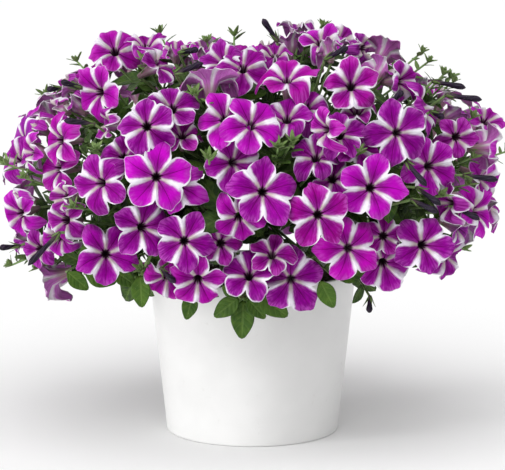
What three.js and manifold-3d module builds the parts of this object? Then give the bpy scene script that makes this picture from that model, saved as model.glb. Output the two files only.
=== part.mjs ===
// A petunia in full bloom in a plain round tapered pot.
// Millimetres, +Z up, the pot's flat foot on z = 0 with its axis on the Z axis, front towards -Y.
// The plant is a round mound of funnel flowers: leafy stems stand in holes in the soil, and each
// bunch of blooms sits at the end of a branch, with one stalk to each bloom.
import * as THREE from 'three';
import { mergeVertices } from 'three/addons/utils/BufferGeometryUtils.js';
import Module from 'manifold-3d';

const wasm = await Module();
wasm.setup();

// Driving dimensions
const POT_HEIGHT = 150;
const POT_FOOT_RADIUS = 79;
const POT_RIM_RADIUS = 95;
const POT_WALL = 3;
const POT_FLOOR = 4;
const POT_SIDES = 28;
const DRAIN_RADIUS = 4.5;
const DRAIN_RING = 46;
const SOIL_TOP = 138;
const SOIL_CROWN = 6;
const SOIL_SIDES = 20;
const CLEARANCE = 0.3;
const BLOOM_TUBE = 29;
const TUBE_PER_RADIUS = 1.25;
const PIT_SHARE = 0.55;
const THROAT_RADIUS = 5;
const THROAT_HEIGHT = -5;
const UNDER_RADIUS = 6.8;
const UNDER_HEIGHT = -9.5;
const TUBE_FOOT_RADIUS = 2.3;
const NOTCH_SHARE = 0.82;
const FACE_DISH = 6;
const FACE_GAP = 1.5;
const STALK_RADIUS = 1.3;
const BRANCH_RADIUS = 1.6;
const STEM_RADIUS = 2.6;
const STEM_DEPTH = 26;
const CROWN_RADIUS = 15;
const KNUCKLE_RADIUS = 3;
const KNUCKLE_GROWTH = 0.8;
const BUD_RADIUS = 3.2;
const ROD_GUARD = 0.6;
const ROD_KEEP_OUT = 1.3;
const LEAF_ROOM = CLEARANCE + 0.1;
const JOIN_TOLERANCES = [0.12, 0.13, 0.11, 0.1, 0.08, 0.05, 0.02, 0.25];
const LEAST_CORNER_GAP = 0.001;

// A leaf that meets others stays if this share of it does, with no more faces than this
const LEAST_LEAF_SHARE = 0.75;
const MOST_CUT_FACES = 50;

// A shoot is dropped where other stalks would cut off more than a little of it
const LEAST_SHOOT_SHARE = 0.97;

// A stalk that turns less than this runs straight on from its bloom's tube
const LEAST_STRAIGHT_TURN = -0.64;

// The mound of flowers is a squared ellipsoid round this centre, deeper below it than above
const MOUND_CENTRE = new THREE.Vector3(0, 0, 238);
const MOUND_SIZE = new THREE.Vector3(236, 206, 124);
const MOUND_DROP = 142;
const MOUND_POWER = 2.4;

// A front bloom that leans less than this and is larger than this shows two shoulders to a lobe
const SHOULDER_LEAN = 40;
const SHOULDER_PIXELS = 27;

// The mound's front as seen in the picture plane, where the plant's sides are almost upright
const FRONT_WIDTH = 240;
const FRONT_RISE = 124;
const FRONT_DROP = 150;
const FRONT_MIDDLE = 64;
const FRONT_DEPTH = 207;

// The heart of the plant, which every branch and stalk leads away from
const HEART = new THREE.Vector3(0, 0, 196);
const LOWEST_HUB = POT_HEIGHT + 14;

// Stems in the middle of the pot rise steeply, and the others lean outwards round them
const STEM_DIRECTIONS = 12;
const INNER_STEMS = 3;
const INNER_STEM = { elevation: 58, footRing: 20, hubReach: 44 };
const OUTER_STEM = { elevation: 8, footRing: 54, hubReach: 72 };
const BUNCH_DIRECTIONS = 44;

// Blooms and shoots of the back and top, which the photograph hides, spread evenly
const BACK_BLOOM_SHARE = 0.94;
const BACK_BLOOM_SPACING = 52;
const BACK_BLOOM_TRIES = 420;
const FRONT_REACH = -95;
const LOWEST_BLOOM = 146;
const BACK_SHOOT_SPACING = 80;
const BACK_SHOOT_TRIES = 300;
const BACK_SHOOT_REACH = 30;
const LOWEST_SHOOT = 140;
const INNER_SHOOTS = 22;
const INNER_SHOOT_SHARE = 0.8;

// The front half is laid out as seen in the 505 x 470 photograph, from 10 degrees above
const PHOTO_CENTRE = [252.5, 235];
const MM_PER_PIXEL = 0.918;
const VIEW_DISTANCE = 3000;
const VIEW_PITCH = THREE.MathUtils.degToRad(10);
const VIEW_TARGET = new THREE.Vector3(0, 0, 181);
const RIGHTWARDS = new THREE.Vector3(1, 0, 0);
const UPWARDS = new THREE.Vector3(0, Math.sin(VIEW_PITCH), Math.cos(VIEW_PITCH));
const TOWARDS = new THREE.Vector3(0, -Math.cos(VIEW_PITCH), Math.sin(VIEW_PITCH));

// Millimetres towards the viewer, off the mound's front
const BUD_FORWARD = 7;
const BUD_LEAN = 8;
const SHOOT_TIP_FORWARD = 5;
const EDGE_LEAF_FORWARD = -4;

const GOLDEN_ANGLE = Math.PI * (3 - Math.sqrt(5));

// Blooms of the front, in rows of [across, down, radius, lean, tilt, stripe, forward].
// Across, down and radius are in pixels. Lean is the way that the flower's face turns in the
// picture, 0 to the right and 90 up, and tilt is how far, 0 facing the viewer. Stripe is the
// angle of one white stripe, or null, and forward is millimetres towards the viewer.
const FRONT_BLOOMS = [
  [115, 49, 27, 90, 28, 79, 0],
  [146, 42, 22, 90, 60, null, 0],
  [163, 62, 24, 30, 65, null, 0],
  [176, 46, 14, 90, 78, null, -10],
  [204, 45, 17, 90, 75, null, -6],
  [210, 78, 30, 90, 110, null, 0],
  [222, 60, 22, 120, 35, null, -14],
  [243, 66, 27, 90, 25, 85, 2],
  [270, 43, 14, 90, 75, null, -12],
  [275, 51, 18, 90, 60, null, -6],
  [287, 76, 29, 90, 52, 270, 6],
  [290, 38, 20, 90, 105, null, -8],
  [297, 22, 20, 90, 88, null, -4],
  [320, 40, 22, 90, 45, null, 0],
  [326, 46, 15, 105, 100, null, 2],
  [345, 36, 20, 45, 70, null, -6],
  [351, 85, 27, 90, 12, 60, 8],
  [367, 48, 16, 0, 50, null, 4],
  [386, 48, 24, 60, 110, null, -6],
  [384, 66, 20, 60, 110, null, 6],
  [404, 82, 22, 0, 50, null, 4],
  [425, 107, 28, 20, 68, null, 2],
  [457, 111, 18, 30, 95, null, -16],
  [487, 118, 20, 60, 45, null, 0],
  [490, 150, 26, 0, 120, null, 0],
  [457, 137, 20, 0, 10, 95, 2],
  [172, 107, 26, 90, 20, 64, 2],
  [147, 126, 28, 90, 5, 64, 4],
  [225, 118, 28, 90, 20, 75, 0],
  [252, 124, 30, 60, 18, 81, 8],
  [287, 116, 24, 90, 35, 55, 2],
  [306, 104, 24, 90, 40, null, -14],
  [340, 133, 25, 90, 20, 60, 0],
  [321, 130, 22, 180, 55, null, 6],
  [358, 146, 24, 90, 30, null, -12],
  [357, 108, 20, 90, 50, null, -16],
  [316, 156, 24, 90, 25, null, -14],
  [397, 133, 31, 0, 5, 75, 8],
  [182, 132, 20, 90, 40, null, -16],
  [96, 92, 28, 180, 40, 100, 2],
  [66, 85, 15, 180, 85, null, 0],
  [72, 100, 16, 135, 100, null, -8],
  [53, 112, 14, 180, 90, null, -10],
  [56, 140, 26, 180, 50, null, 2],
  [105, 124, 16, 180, 70, null, -8],
  [124, 157, 23, 90, 10, 55, -2],
  [99, 183, 29, 180, 25, 81, 4],
  [27, 152, 22, 175, 75, null, -4],
  [34, 124, 17, 150, 75, null, -8],
  [53, 168, 26, 180, 55, null, -4],
  [62, 197, 16, 180, 60, null, -10],
  [62, 220, 24, 180, 35, null, 4],
  [57, 240, 20, 225, 40, null, -6],
  [17, 215, 24, 200, 45, null, 2],
  [38, 249, 19, 180, 20, null, -4],
  [49, 278, 28, 197, 108, null, 0],
  [16, 240, 13, 180, 80, null, -10],
  [157, 177, 33, 0, 5, 50, 10],
  [177, 186, 25, 180, 20, 82, -8],
  [234, 162, 30, 0, 10, 80, 2],
  [263, 192, 33, 0, 5, 54, 6],
  [318.6, 214.7, 31, 0, 5, 60, 8],
  [333, 177, 23, 90, 15, 40, -2],
  [371, 188, 32, 0, 5, 40, 4],
  [430, 166, 28, 0, 10, 83, 2],
  [446, 203, 22, 180, 55, null, 6],
  [463, 229, 22, 340, 70, null, -8],
  [480, 211, 26, 0, 62, null, 0],
  [486, 181, 24, 330, 60, null, 0],
  [106, 254, 30, 0, 5, 20, 4],
  [144, 227, 29, 0, 20, 45, 2],
  [185, 241, 29, 0, 5, 98, 6],
  [239, 219, 26, 270, 20, null, -10],
  [221, 243, 22, 0, 5, null, -16],
  [272, 253, 22, 90, 20, null, -12],
  [249, 274, 27, 90, 20, 45, 0],
  [291, 280, 33, 270, 5, 55, 8],
  [349, 248, 31, 0, 5, 75, 0],
  [384, 236, 20, 0, 5, null, -12],
  [384, 265, 28, 280, 20, 40, 6],
  [423, 245, 28, 0, 10, 30, 2],
  [452, 259, 27, 330, 58, null, 0],
  [167, 281, 26, 270, 40, null, 0],
  [198, 282, 27, 270, 25, 266, 4],
];

// Dark furled buds of the front, from the calyx to the tip, in pixels
const FURLED_BUDS = [
  [[278, 42], [263, 20]],
  [[432, 81], [464, 88]],
  [[445, 95], [480, 100]],
  [[178, 53], [198, 50]],
  [[60, 232], [30, 264]],
  [[62, 88], [48, 90]],
  [[95, 124], [66, 121]],
  [[405, 160], [425, 185]],
  [[20, 246], [0, 248]],
  [[160, 268], [175, 282]],
  [[370, 296], [369, 312]],
  [[416, 187], [439, 204]],
  [[411, 199], [436, 212]],
  [[453, 206], [478, 219]],
  [[463, 175], [496, 180]],
  [[430, 111], [443, 118]],
  [[174, 74], [202, 64]],
  [[324, 60], [347, 48]],
  [[388, 105], [402, 92]],
  [[82, 88], [62, 82]],
];

// Green shoot tips of the front, in pixels
const SHOOT_TIPS = [
  [8, 165], [25, 178], [97, 150], [114, 172], [75, 208], [195, 95], [212, 103], [145, 62],
  [160, 34], [207, 42], [307, 40], [323, 27], [292, 142], [278, 148], [209, 160], [388, 157],
  [422, 52], [428, 62], [443, 75], [472, 118], [466, 185], [440, 196], [143, 270], [246, 296],
  [12, 265], [38, 268], [358, 152], [472, 158], [450, 78],
];

// Larger leaves at the lower edge of the front: [across, down, length in mm, way of the tip]
const EDGE_LEAVES = [
  [66, 272, 25, 320], [84, 274, 29, 345], [112, 270, 25, 325], [139, 275, 29, 274],
  [193, 294, 24, 255], [241, 296, 24, 98], [239, 298, 28, 218], [243, 300, 35, 268],
  [247, 299, 24, 312], [257, 293, 34, 322], [320, 281, 27, 298], [337, 279, 27, 18],
];

// Sizes and turns that a leaf tries, in order
const LEAF_SIZES = [1, 0.82, 0.66];
const LEAF_TURNS = [0, 0.35, -0.35, 0.7];

const COLOURS = {
  pot: 0xf2f2f0,
  soil: 0x3a2a1e,
  leaf: 0x4f7d35,
  petal: 0xa81aa6,
};

// A seeded stream of numbers from 0 to 1, the same on every run
function drawsFrom(seed) {
  let state = (seed * 7919 + 12345) % 4294967296;
  const draw = () => {
    state = (state * 1664525 + 1013904223) % 4294967296;
    return state / 4294967296;
  };
  draw();
  draw();
  return draw;
}

// Solids: a closed three.js geometry becomes one that can be joined and cut
function solidOf(geometry) {
  const bare = new THREE.BufferGeometry();
  bare.setAttribute('position', geometry.getAttribute('position'));
  if (geometry.index) bare.setIndex(geometry.index);
  const merged = mergeVertices(bare, 1e-4);
  return new wasm.Manifold(new wasm.Mesh({
    numProp: 3,
    vertProperties: merged.attributes.position.array,
    triVerts: new Uint32Array(merged.index.array),
  }));
}

function geometryOf(solid) {
  const mesh = solid.getMesh();
  const points = new Float32Array(mesh.numVert * 3);
  for (let i = 0; i < mesh.numVert; i += 1) {
    points.set(mesh.vertProperties.subarray(i * mesh.numProp, i * mesh.numProp + 3), i * 3);
  }
  const geometry = new THREE.BufferGeometry();
  geometry.setAttribute('position', new THREE.BufferAttribute(points, 3));
  geometry.setIndex(new THREE.BufferAttribute(new Uint32Array(mesh.triVerts), 1));
  geometry.computeVertexNormals();
  return geometry;
}

function closedGeometry(points, faces) {
  const geometry = new THREE.BufferGeometry();
  const numbers = points.flatMap((point) => point.toArray());
  geometry.setAttribute('position', new THREE.Float32BufferAttribute(numbers, 3));
  geometry.setIndex(faces.flat());
  return geometry;
}

// A stem, branch or stalk: a thin extrusion along a curve through the given points
function rod(points, radius, sides, steps) {
  const shape = new THREE.Shape();
  for (let i = 0; i < sides; i += 1) {
    const angle = (2 * Math.PI * i) / sides;
    shape[i ? 'lineTo' : 'moveTo'](radius * Math.cos(angle), radius * Math.sin(angle));
  }
  const path = new THREE.CatmullRomCurve3(points);
  const geometry = new THREE.ExtrudeGeometry(shape, { steps, extrudePath: path, bevelEnabled: false });
  return solidOf(geometry);
}

// A right-handed frame with its Z axis along a direction and its X axis near a hint
function frameAt(origin, axis, hint) {
  const z = axis.clone().normalize();
  const x = hint.clone().addScaledVector(z, -hint.dot(z));
  if (x.length() < 1e-3) x.set(z.y, z.z, z.x).addScaledVector(z, -(z.x * z.y + z.y * z.z + z.z * z.x));
  x.normalize();
  const y = new THREE.Vector3().crossVectors(z, x);
  return new THREE.Matrix4().makeBasis(x, y, z).setPosition(origin);
}

// The depth of the mound's front over a point of the picture plane, in millimetres
function moundDepth(across, rise) {
  const sideways = Math.abs(across / FRONT_WIDTH) ** MOUND_POWER;
  const height = rise - FRONT_MIDDLE;
  const upright = Math.abs(height / (height > 0 ? FRONT_RISE : FRONT_DROP)) ** MOUND_POWER;
  const rest = 1 - sideways - upright;
  return rest > 0 ? FRONT_DEPTH * rest ** (1 / MOUND_POWER) : 0;
}

// The point of the plant's front that shows at a pixel, moved towards the viewer
function seenAt(px, py, forward) {
  const across = (px - PHOTO_CENTRE[0]) * MM_PER_PIXEL;
  const rise = (PHOTO_CENTRE[1] - py) * MM_PER_PIXEL;
  const depth = moundDepth(across, rise) + forward;
  const nearer = 1 - depth / VIEW_DISTANCE;
  return VIEW_TARGET.clone()
    .addScaledVector(RIGHTWARDS, across * nearer)
    .addScaledVector(UPWARDS, rise * nearer)
    .addScaledVector(TOWARDS, depth);
}

function pictureDirection(degrees) {
  const angle = THREE.MathUtils.degToRad(degrees);
  return RIGHTWARDS.clone().multiplyScalar(Math.cos(angle)).addScaledVector(UPWARDS, Math.sin(angle));
}

// The mound's surface in a direction from its centre, and the way that it faces there
const moundSize = (k, offset) => (k === 'z' && offset.z < 0 ? MOUND_DROP : MOUND_SIZE[k]);

function moundPoint(direction, share) {
  const sum = ['x', 'y', 'z'].reduce(
    (total, k) => total + Math.abs(direction[k] / moundSize(k, direction)) ** MOUND_POWER,
    0,
  );
  return direction.clone().multiplyScalar(share / sum ** (1 / MOUND_POWER)).add(MOUND_CENTRE);
}

function moundNormal(point) {
  const offset = point.clone().sub(MOUND_CENTRE);
  const slope = (k) => {
    const size = moundSize(k, offset);
    return (Math.sign(offset[k]) * Math.abs(offset[k] / size) ** (MOUND_POWER - 1)) / size;
  };
  return new THREE.Vector3(slope('x'), slope('y'), slope('z')).normalize();
}

// Evenly spread directions, from straight up down to the given lowest height on a unit ball
function spreadDirections(count, lowest) {
  return Array.from({ length: count }, (_, i) => {
    const z = 1 - ((1 - lowest) * (i + 0.5)) / count;
    const flat = Math.sqrt(1 - z * z);
    return new THREE.Vector3(flat * Math.cos(i * GOLDEN_ANGLE), flat * Math.sin(i * GOLDEN_ANGLE), z);
  });
}

// Layout of the blooms
function frontBlooms() {
  return FRONT_BLOOMS.map(([px, py, radius, lean, tilt, stripe, forward], i) => {
    const draw = drawsFrom(i + 1);
    const turn = THREE.MathUtils.degToRad(tilt);
    const axis = TOWARDS.clone().multiplyScalar(Math.cos(turn))
      .addScaledVector(pictureDirection(lean), Math.sin(turn));
    return {
      at: seenAt(px, py, forward),
      axis,
      lift: TOWARDS,
      hint: pictureDirection(stripe ?? 360 * draw()),
      radius: radius * MM_PER_PIXEL,
      seed: i + 1,
      shouldered: tilt < SHOULDER_LEAN && radius > SHOULDER_PIXELS,
    };
  });
}

function backBlooms(others) {
  const found = [];
  spreadDirections(BACK_BLOOM_TRIES, -0.85).forEach((direction, i) => {
    const at = moundPoint(direction, BACK_BLOOM_SHARE);
    if (at.y < FRONT_REACH || at.z < LOWEST_BLOOM) return;
    const taken = others.concat(found).some((b) => b.at.distanceTo(at) < BACK_BLOOM_SPACING);
    if (taken) return;
    const draw = drawsFrom(1000 + i);
    const normal = moundNormal(at);
    const lean = new THREE.Vector3(draw() - 0.5, draw() - 0.5, draw() - 0.35);
    found.push({
      at: at.addScaledVector(normal, -6 * draw()),
      axis: normal.clone().addScaledVector(lean, 0.8).normalize(),
      lift: normal,
      hint: new THREE.Vector3(draw() - 0.5, draw() - 0.5, draw() - 0.5),
      radius: 24 + 4 * draw(),
      seed: 1000 + i,
      shouldered: false,
    });
  });
  return found;
}

// The height of a flat funnel's face at a distance from its axis
const faceHeight = (radius, distance) => -FACE_DISH * (1 - Math.min(1, distance / radius));

function facePoints(bloom) {
  const frame = frameAt(bloom.at, bloom.axis, bloom.hint);
  const points = [];
  for (let i = 0; i < 15; i += 1) {
    const angle = (2 * Math.PI * i) / 15;
    [0.55, 0.97].forEach((share) => {
      const distance = share * bloom.radius;
      points.push(new THREE.Vector3(
        distance * Math.cos(angle),
        distance * Math.sin(angle),
        faceHeight(bloom.radius, distance),
      ).applyMatrix4(frame));
    });
  }
  return points;
}

// How much two blooms pass through each other: points of one on either side of the other
function crossing(a, b) {
  const inverse = frameAt(b.at, b.axis, b.hint).invert();
  let above = 0;
  let below = 0;
  facePoints(a).forEach((point) => {
    const local = point.clone().applyMatrix4(inverse);
    const distance = Math.hypot(local.x, local.y);
    if (distance > b.radius) return;
    const height = local.z - faceHeight(b.radius, distance);
    if (height > -FACE_GAP) above += 1;
    if (height < FACE_GAP) below += 1;
  });
  return Math.min(above, below);
}

// Each bloom in turn moves in or out by the least step that frees it from those before it
function settleBlooms(blooms) {
  const steps = [0, 4, -4, 8, -8, 12, -12, 16, -16];
  blooms.forEach((bloom, i) => {
    const before = blooms.slice(0, i).filter(
      (b) => b.at.distanceTo(bloom.at) < b.radius + bloom.radius + 16,
    );
    const start = bloom.at.clone();
    let best = null;
    steps.forEach((step) => {
      bloom.at = start.clone().addScaledVector(bloom.lift, step);
      const cost = before.reduce((sum, b) => sum + crossing(bloom, b) + crossing(b, bloom), 0)
        + 0.05 * Math.abs(step);
      if (!best || cost < best.cost) best = { cost, at: bloom.at };
    });
    bloom.at = best.at;
  });
}

// The wavy rim of a bloom's five notched lobes. The ones that face the viewer have two shoulders
// on each lobe, and the others one point.
const lobeTurns = (bloom) => (bloom.shouldered ? [0, 20, 52] : [0, 36]);

function bloomRim(bloom, outwards, raised) {
  const draw = drawsFrom(bloom.seed + 5000);
  const rim = [];
  for (let i = 0; i < 5; i += 1) {
    const reach = 0.93 + 0.08 * draw();
    const curl = 3 * draw() - 2;
    lobeTurns(bloom).forEach((turn) => {
      const angle = THREE.MathUtils.degToRad(72 * i + turn);
      const distance = bloom.radius * (turn ? reach : NOTCH_SHARE) + outwards;
      const height = (turn ? curl : 0.5) + raised;
      rim.push(new THREE.Vector3(distance * Math.cos(angle), distance * Math.sin(angle), height));
    });
  }
  return rim;
}

const ringOf = (count, radius, z) => Array.from({ length: count }, (_, i) => {
  const angle = (2 * Math.PI * i) / count;
  return new THREE.Vector3(radius * Math.cos(angle), radius * Math.sin(angle), z);
});

// The faces between an inner ring and a rim of lobes, facing along +Z
function lobeFaces(lobes, perLobe, ring, edge) {
  const faces = [];
  for (let i = 0; i < lobes; i += 1) {
    const first = perLobe * i;
    const last = first + perLobe;
    for (let k = first; k < last - 1; k += 1) faces.push([ring(i), edge(k), edge(k + 1)]);
    faces.push([ring(i), edge(last - 1), ring(i + 1)]);
    faces.push([ring(i + 1), edge(last - 1), edge(last)]);
  }
  return faces;
}

const turned = (faces) => faces.map(([a, b, c]) => [a, c, b]);

// The faces of a band between two rings that may differ in their number of points
function bandFaces(upperCount, upper, lowerCount, lower) {
  const faces = [];
  let i = 0;
  let k = 0;
  while (i < upperCount || k < lowerCount) {
    if ((i + 1) * lowerCount <= (k + 1) * upperCount) {
      faces.push([upper(i), lower(k), upper(i + 1)]);
      i += 1;
    } else {
      faces.push([upper(i), lower(k), lower(k + 1)]);
      k += 1;
    }
  }
  return faces;
}

// A three-sided ring round a point, across the way that a stalk runs
function ringAcross(at, way, radius) {
  const frame = frameAt(at, way.clone().negate(), new THREE.Vector3(1, 0, 0));
  return ringOf(3, radius, 0).map((point) => point.applyMatrix4(frame));
}

// A funnel flower, its axis along +Z and its throat at the origin: the pit, the ring of the
// throat, the rim, the ring under the face, the foot of the tube, and the stalk's end if the
// stalk runs straight on from the tube
function bloomGeometry(bloom, stalkEnd) {
  const perLobe = lobeTurns(bloom).length;
  const foot = new THREE.Vector3(0, 0, -bloom.tall);
  const points = [
    new THREE.Vector3(0, 0, -PIT_SHARE * bloom.tall),
    ...ringOf(5, THROAT_RADIUS, THROAT_HEIGHT),
    ...bloomRim(bloom, 0, 0),
    ...ringOf(5, UNDER_RADIUS, UNDER_HEIGHT),
    ...ringOf(3, TUBE_FOOT_RADIUS, -bloom.tall),
    ...(stalkEnd ? ringAcross(stalkEnd, stalkEnd.clone().sub(foot).normalize(), STALK_RADIUS) : []),
  ];
  const throat = (i) => 1 + (i % 5);
  const edge = (i) => 6 + (i % (5 * perLobe));
  const under = (i) => 6 + 5 * perLobe + (i % 5);
  const base = (i) => 11 + 5 * perLobe + (i % 3);
  const end = (i) => base(i) + (stalkEnd ? 3 : 0);
  const faces = [
    ...lobeFaces(5, perLobe, throat, edge),
    ...turned(lobeFaces(5, perLobe, under, edge)),
    ...bandFaces(5, under, 3, base),
    ...(stalkEnd ? bandFaces(3, base, 3, end) : []),
    [end(0), end(2), end(1)],
  ];
  for (let i = 0; i < 5; i += 1) faces.push([0, throat(i), throat(i + 1)]);
  return closedGeometry(points, faces);
}

// The room that a bloom's face needs: the same lobes, a clearance larger all round
function faceRoom(bloom) {
  const perLobe = lobeTurns(bloom).length;
  const around = 5 * perLobe;
  const points = [
    ...ringOf(5, THROAT_RADIUS, THROAT_HEIGHT + 0.6),
    ...bloomRim(bloom, 0.4, 0.35),
    ...bloomRim(bloom, 0.4, -0.35),
    ...ringOf(5, UNDER_RADIUS + 0.5, UNDER_HEIGHT - 0.5),
    new THREE.Vector3(0, 0, THROAT_HEIGHT + 0.8),
    new THREE.Vector3(0, 0, UNDER_HEIGHT - 0.6),
  ];
  const throat = (i) => i % 5;
  const upper = (i) => 5 + (i % around);
  const lower = (i) => 5 + around + (i % around);
  const under = (i) => 5 + 2 * around + (i % 5);
  const top = 10 + 2 * around;
  const faces = [...lobeFaces(5, perLobe, throat, upper), ...turned(lobeFaces(5, perLobe, under, lower))];
  for (let i = 0; i < 5; i += 1) {
    faces.push([top, throat(i), throat(i + 1)], [top + 1, under(i + 1), under(i)]);
  }
  for (let i = 0; i < around; i += 1) {
    faces.push([upper(i), lower(i), lower(i + 1)], [upper(i), lower(i + 1), upper(i + 1)]);
  }
  return closedGeometry(points, faces);
}

// A round cone frustum along +Z with few sides, which keeps others clear of a bloom
function frustum(radiusLow, low, radiusHigh, high, sides) {
  const geometry = new THREE.CylinderGeometry(radiusHigh, radiusLow, high - low, sides);
  return geometry.rotateX(Math.PI / 2).translate(0, 0, (high + low) / 2);
}

const placed = (geometry, frame) => solidOf(geometry.clone().applyMatrix4(frame));

// A bud: a slim spindle from its calyx to its tip
function spindle(length, radius) {
  const outline = [
    new THREE.Vector2(0, 0),
    new THREE.Vector2(0.45 * radius, 0),
    new THREE.Vector2(radius, 0.72 * length),
    new THREE.Vector2(0, length),
  ];
  return new THREE.LatheGeometry(outline, 5).rotateX(Math.PI / 2);
}

// A leaf blade along +X, thick at its middle, arched down to its tip. Its room is the same
// blade a clearance larger all round.
function leafGeometry(leaf, room) {
  const { length, halfWidth, droop } = leaf;
  const broad = [[0, -0.22], [0.36, -1], [0.72, -0.7], [1, 0], [0.72, 0.7], [0.36, 1], [0, 0.22]];
  const slim = [[0, -0.45], [0.5, -1], [1, 0], [0.5, 1], [0, 0.45]];
  const outline = halfWidth > 4 ? broad : slim;
  const count = outline.length;
  const arch = (share) => -droop * length * share * share;
  const edgeAt = (raised) => outline.map(([x, y]) => new THREE.Vector3(
    x * length + room * Math.sign(x - 0.5),
    y * halfWidth + room * Math.sign(y),
    arch(x) + 0.22 * halfWidth * Math.abs(y) + raised,
  ));
  const middle = (raised) => new THREE.Vector3(0.5 * length, 0, arch(0.5) + raised);
  if (!room) {
    const points = [...edgeAt(0), middle(0.5), middle(-0.6)];
    const faces = [];
    for (let i = 0; i < count; i += 1) {
      const next = (i + 1) % count;
      faces.push([count, i, next], [count + 1, next, i]);
    }
    return closedGeometry(points, faces);
  }
  const points = [...edgeAt(room), ...edgeAt(-room), middle(0.5 + room), middle(-0.6 - room)];
  const faces = [];
  for (let i = 0; i < count; i += 1) {
    const next = (i + 1) % count;
    faces.push([2 * count, i, next], [2 * count + 1, count + next, count + i]);
    faces.push([i, count + i, count + next], [i, count + next, next]);
  }
  return closedGeometry(points, faces);
}

// A whorl of leaves that spread from a shoot's end along +Z: one closed star with a leaf to each
// lobe, whose share of shoulders makes it ovate. Its room is a clearance larger all round.
function whorlGeometry(whorl, room) {
  const { leaves, length, halfWidth, rise } = whorl;
  const inner = 1.7 + room;
  const rim = (raised) => Array.from({ length: leaves }, (_, i) => {
    const start = (2 * Math.PI * i) / leaves;
    const middle = start + Math.PI / leaves;
    const point = (angle, distance, z) => new THREE.Vector3(
      distance * Math.cos(angle),
      distance * Math.sin(angle),
      z + raised,
    );
    const tip = point(middle, length * Math.cos(rise) + room, length * Math.sin(rise));
    const notch = point(start, 1.25 * inner, 0.4);
    if (!halfWidth) return [notch, tip];
    const out = 0.5 * length * Math.cos(rise);
    const spread = Math.atan2(halfWidth + room, out);
    const high = 0.62 * length * Math.sin(rise);
    const wide = Math.hypot(out, halfWidth + room);
    return [notch, point(middle - spread, wide, high), tip, point(middle + spread, wide, high)];
  }).flat();
  const perLeaf = halfWidth ? 4 : 2;
  const around = leaves * perLeaf;
  const points = [
    ...ringOf(leaves, inner, 0.7 + room),
    ...rim(room),
    ...(room ? rim(-room) : []),
    ...ringOf(leaves, inner, -0.7 - room),
    new THREE.Vector3(0, 0, 0.5 + room),
    new THREE.Vector3(0, 0, -1.2 - room),
  ];
  const upper = (i) => i % leaves;
  const edge = (i) => leaves + (i % around);
  const low = (i) => (room ? around : 0) + edge(i);
  const under = (i) => leaves + around * (room ? 2 : 1) + (i % leaves);
  const top = points.length - 2;
  const faces = [
    ...lobeFaces(leaves, perLeaf, upper, edge),
    ...turned(lobeFaces(leaves, perLeaf, under, low)),
  ];
  for (let i = 0; i < leaves; i += 1) {
    faces.push([top, upper(i), upper(i + 1)], [top + 1, under(i + 1), under(i)]);
  }
  if (room) faces.push(...bandFaces(around, edge, around, low));
  return closedGeometry(points, faces);
}

// Layout of the stems: an inner ring of them, turned a little, and an outer ring
function stemPlans() {
  return Array.from({ length: STEM_DIRECTIONS }, (_, i) => {
    const inner = i < INNER_STEMS;
    const kind = inner ? INNER_STEM : OUTER_STEM;
    const azimuth = inner
      ? (i * 2 * Math.PI) / INNER_STEMS + 0.5
      : ((i - INNER_STEMS) * 2 * Math.PI) / (STEM_DIRECTIONS - INNER_STEMS);
    const elevation = THREE.MathUtils.degToRad(kind.elevation);
    const direction = new THREE.Vector3(
      Math.cos(azimuth) * Math.cos(elevation),
      Math.sin(azimuth) * Math.cos(elevation),
      Math.sin(elevation),
    );
    const foot = new THREE.Vector3(Math.cos(azimuth), Math.sin(azimuth), 0).multiplyScalar(kind.footRing);
    const hub = HEART.clone().addScaledVector(direction, kind.hubReach);
    return { name: `leafy_stem_${String(i + 1).padStart(2, '0')}`, azimuth, direction, foot, hub };
  });
}

const nearestTo = (direction, plans) => plans.reduce(
  (best, plan) => (plan.direction.dot(direction) > best.direction.dot(direction) ? plan : best),
);

// The blooms and buds of one bunch hang on the branch end nearest to them
function bunchPlans(blooms, stems) {
  const plans = spreadDirections(BUNCH_DIRECTIONS, -0.36).map((direction) => ({ direction, blooms: [] }));
  blooms.forEach((bloom) => {
    bloom.root = bloom.at.clone().addScaledVector(bloom.axis, -bloom.tall);
    nearestTo(bloom.root.clone().sub(HEART).normalize(), plans).blooms.push(bloom);
  });
  const used = plans.filter((plan) => plan.blooms.length);
  used.forEach((plan, i) => {
    const middle = new THREE.Vector3();
    plan.blooms.forEach((bloom) => middle.add(bloom.root));
    middle.divideScalar(plan.blooms.length).sub(HEART);
    const nearest = Math.min(...plan.blooms.map((bloom) => bloom.root.distanceTo(HEART)));
    plan.stem = nearestTo(middle.clone().normalize(), stems);
    const reach = Math.max(0.6 * nearest, plan.stem.hub.distanceTo(HEART) + CROWN_RADIUS + 14);
    plan.hub = HEART.clone().addScaledVector(middle.normalize(), reach);
    plan.hub.z = Math.max(plan.hub.z, LOWEST_HUB);
    plan.knuckle = KNUCKLE_RADIUS + KNUCKLE_GROWTH * (plan.blooms.length - 1);
    plan.name = `bloom_bunch_${String(i + 1).padStart(2, '0')}`;
  });
  return used;
}

// The least distance between two line pieces
function pieceDistance(a0, a1, b0, b1) {
  let least = Infinity;
  for (let i = 0; i <= 6; i += 1) {
    const p = a0.clone().lerp(a1, i / 6);
    const line = new THREE.Line3(b0, b1);
    const near = line.closestPointToPoint(p, true, new THREE.Vector3());
    least = Math.min(least, near.distanceTo(p));
  }
  return least;
}

// Whether a straight piece goes through a bloom's face
function pierces(from, to, bloom) {
  const low = from.clone().sub(bloom.at).dot(bloom.axis);
  const high = to.clone().sub(bloom.at).dot(bloom.axis);
  if (low * high > 0) return false;
  const through = from.clone().lerp(to, low / (low - high));
  return through.distanceTo(bloom.at) < bloom.radius + 2;
}

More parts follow.
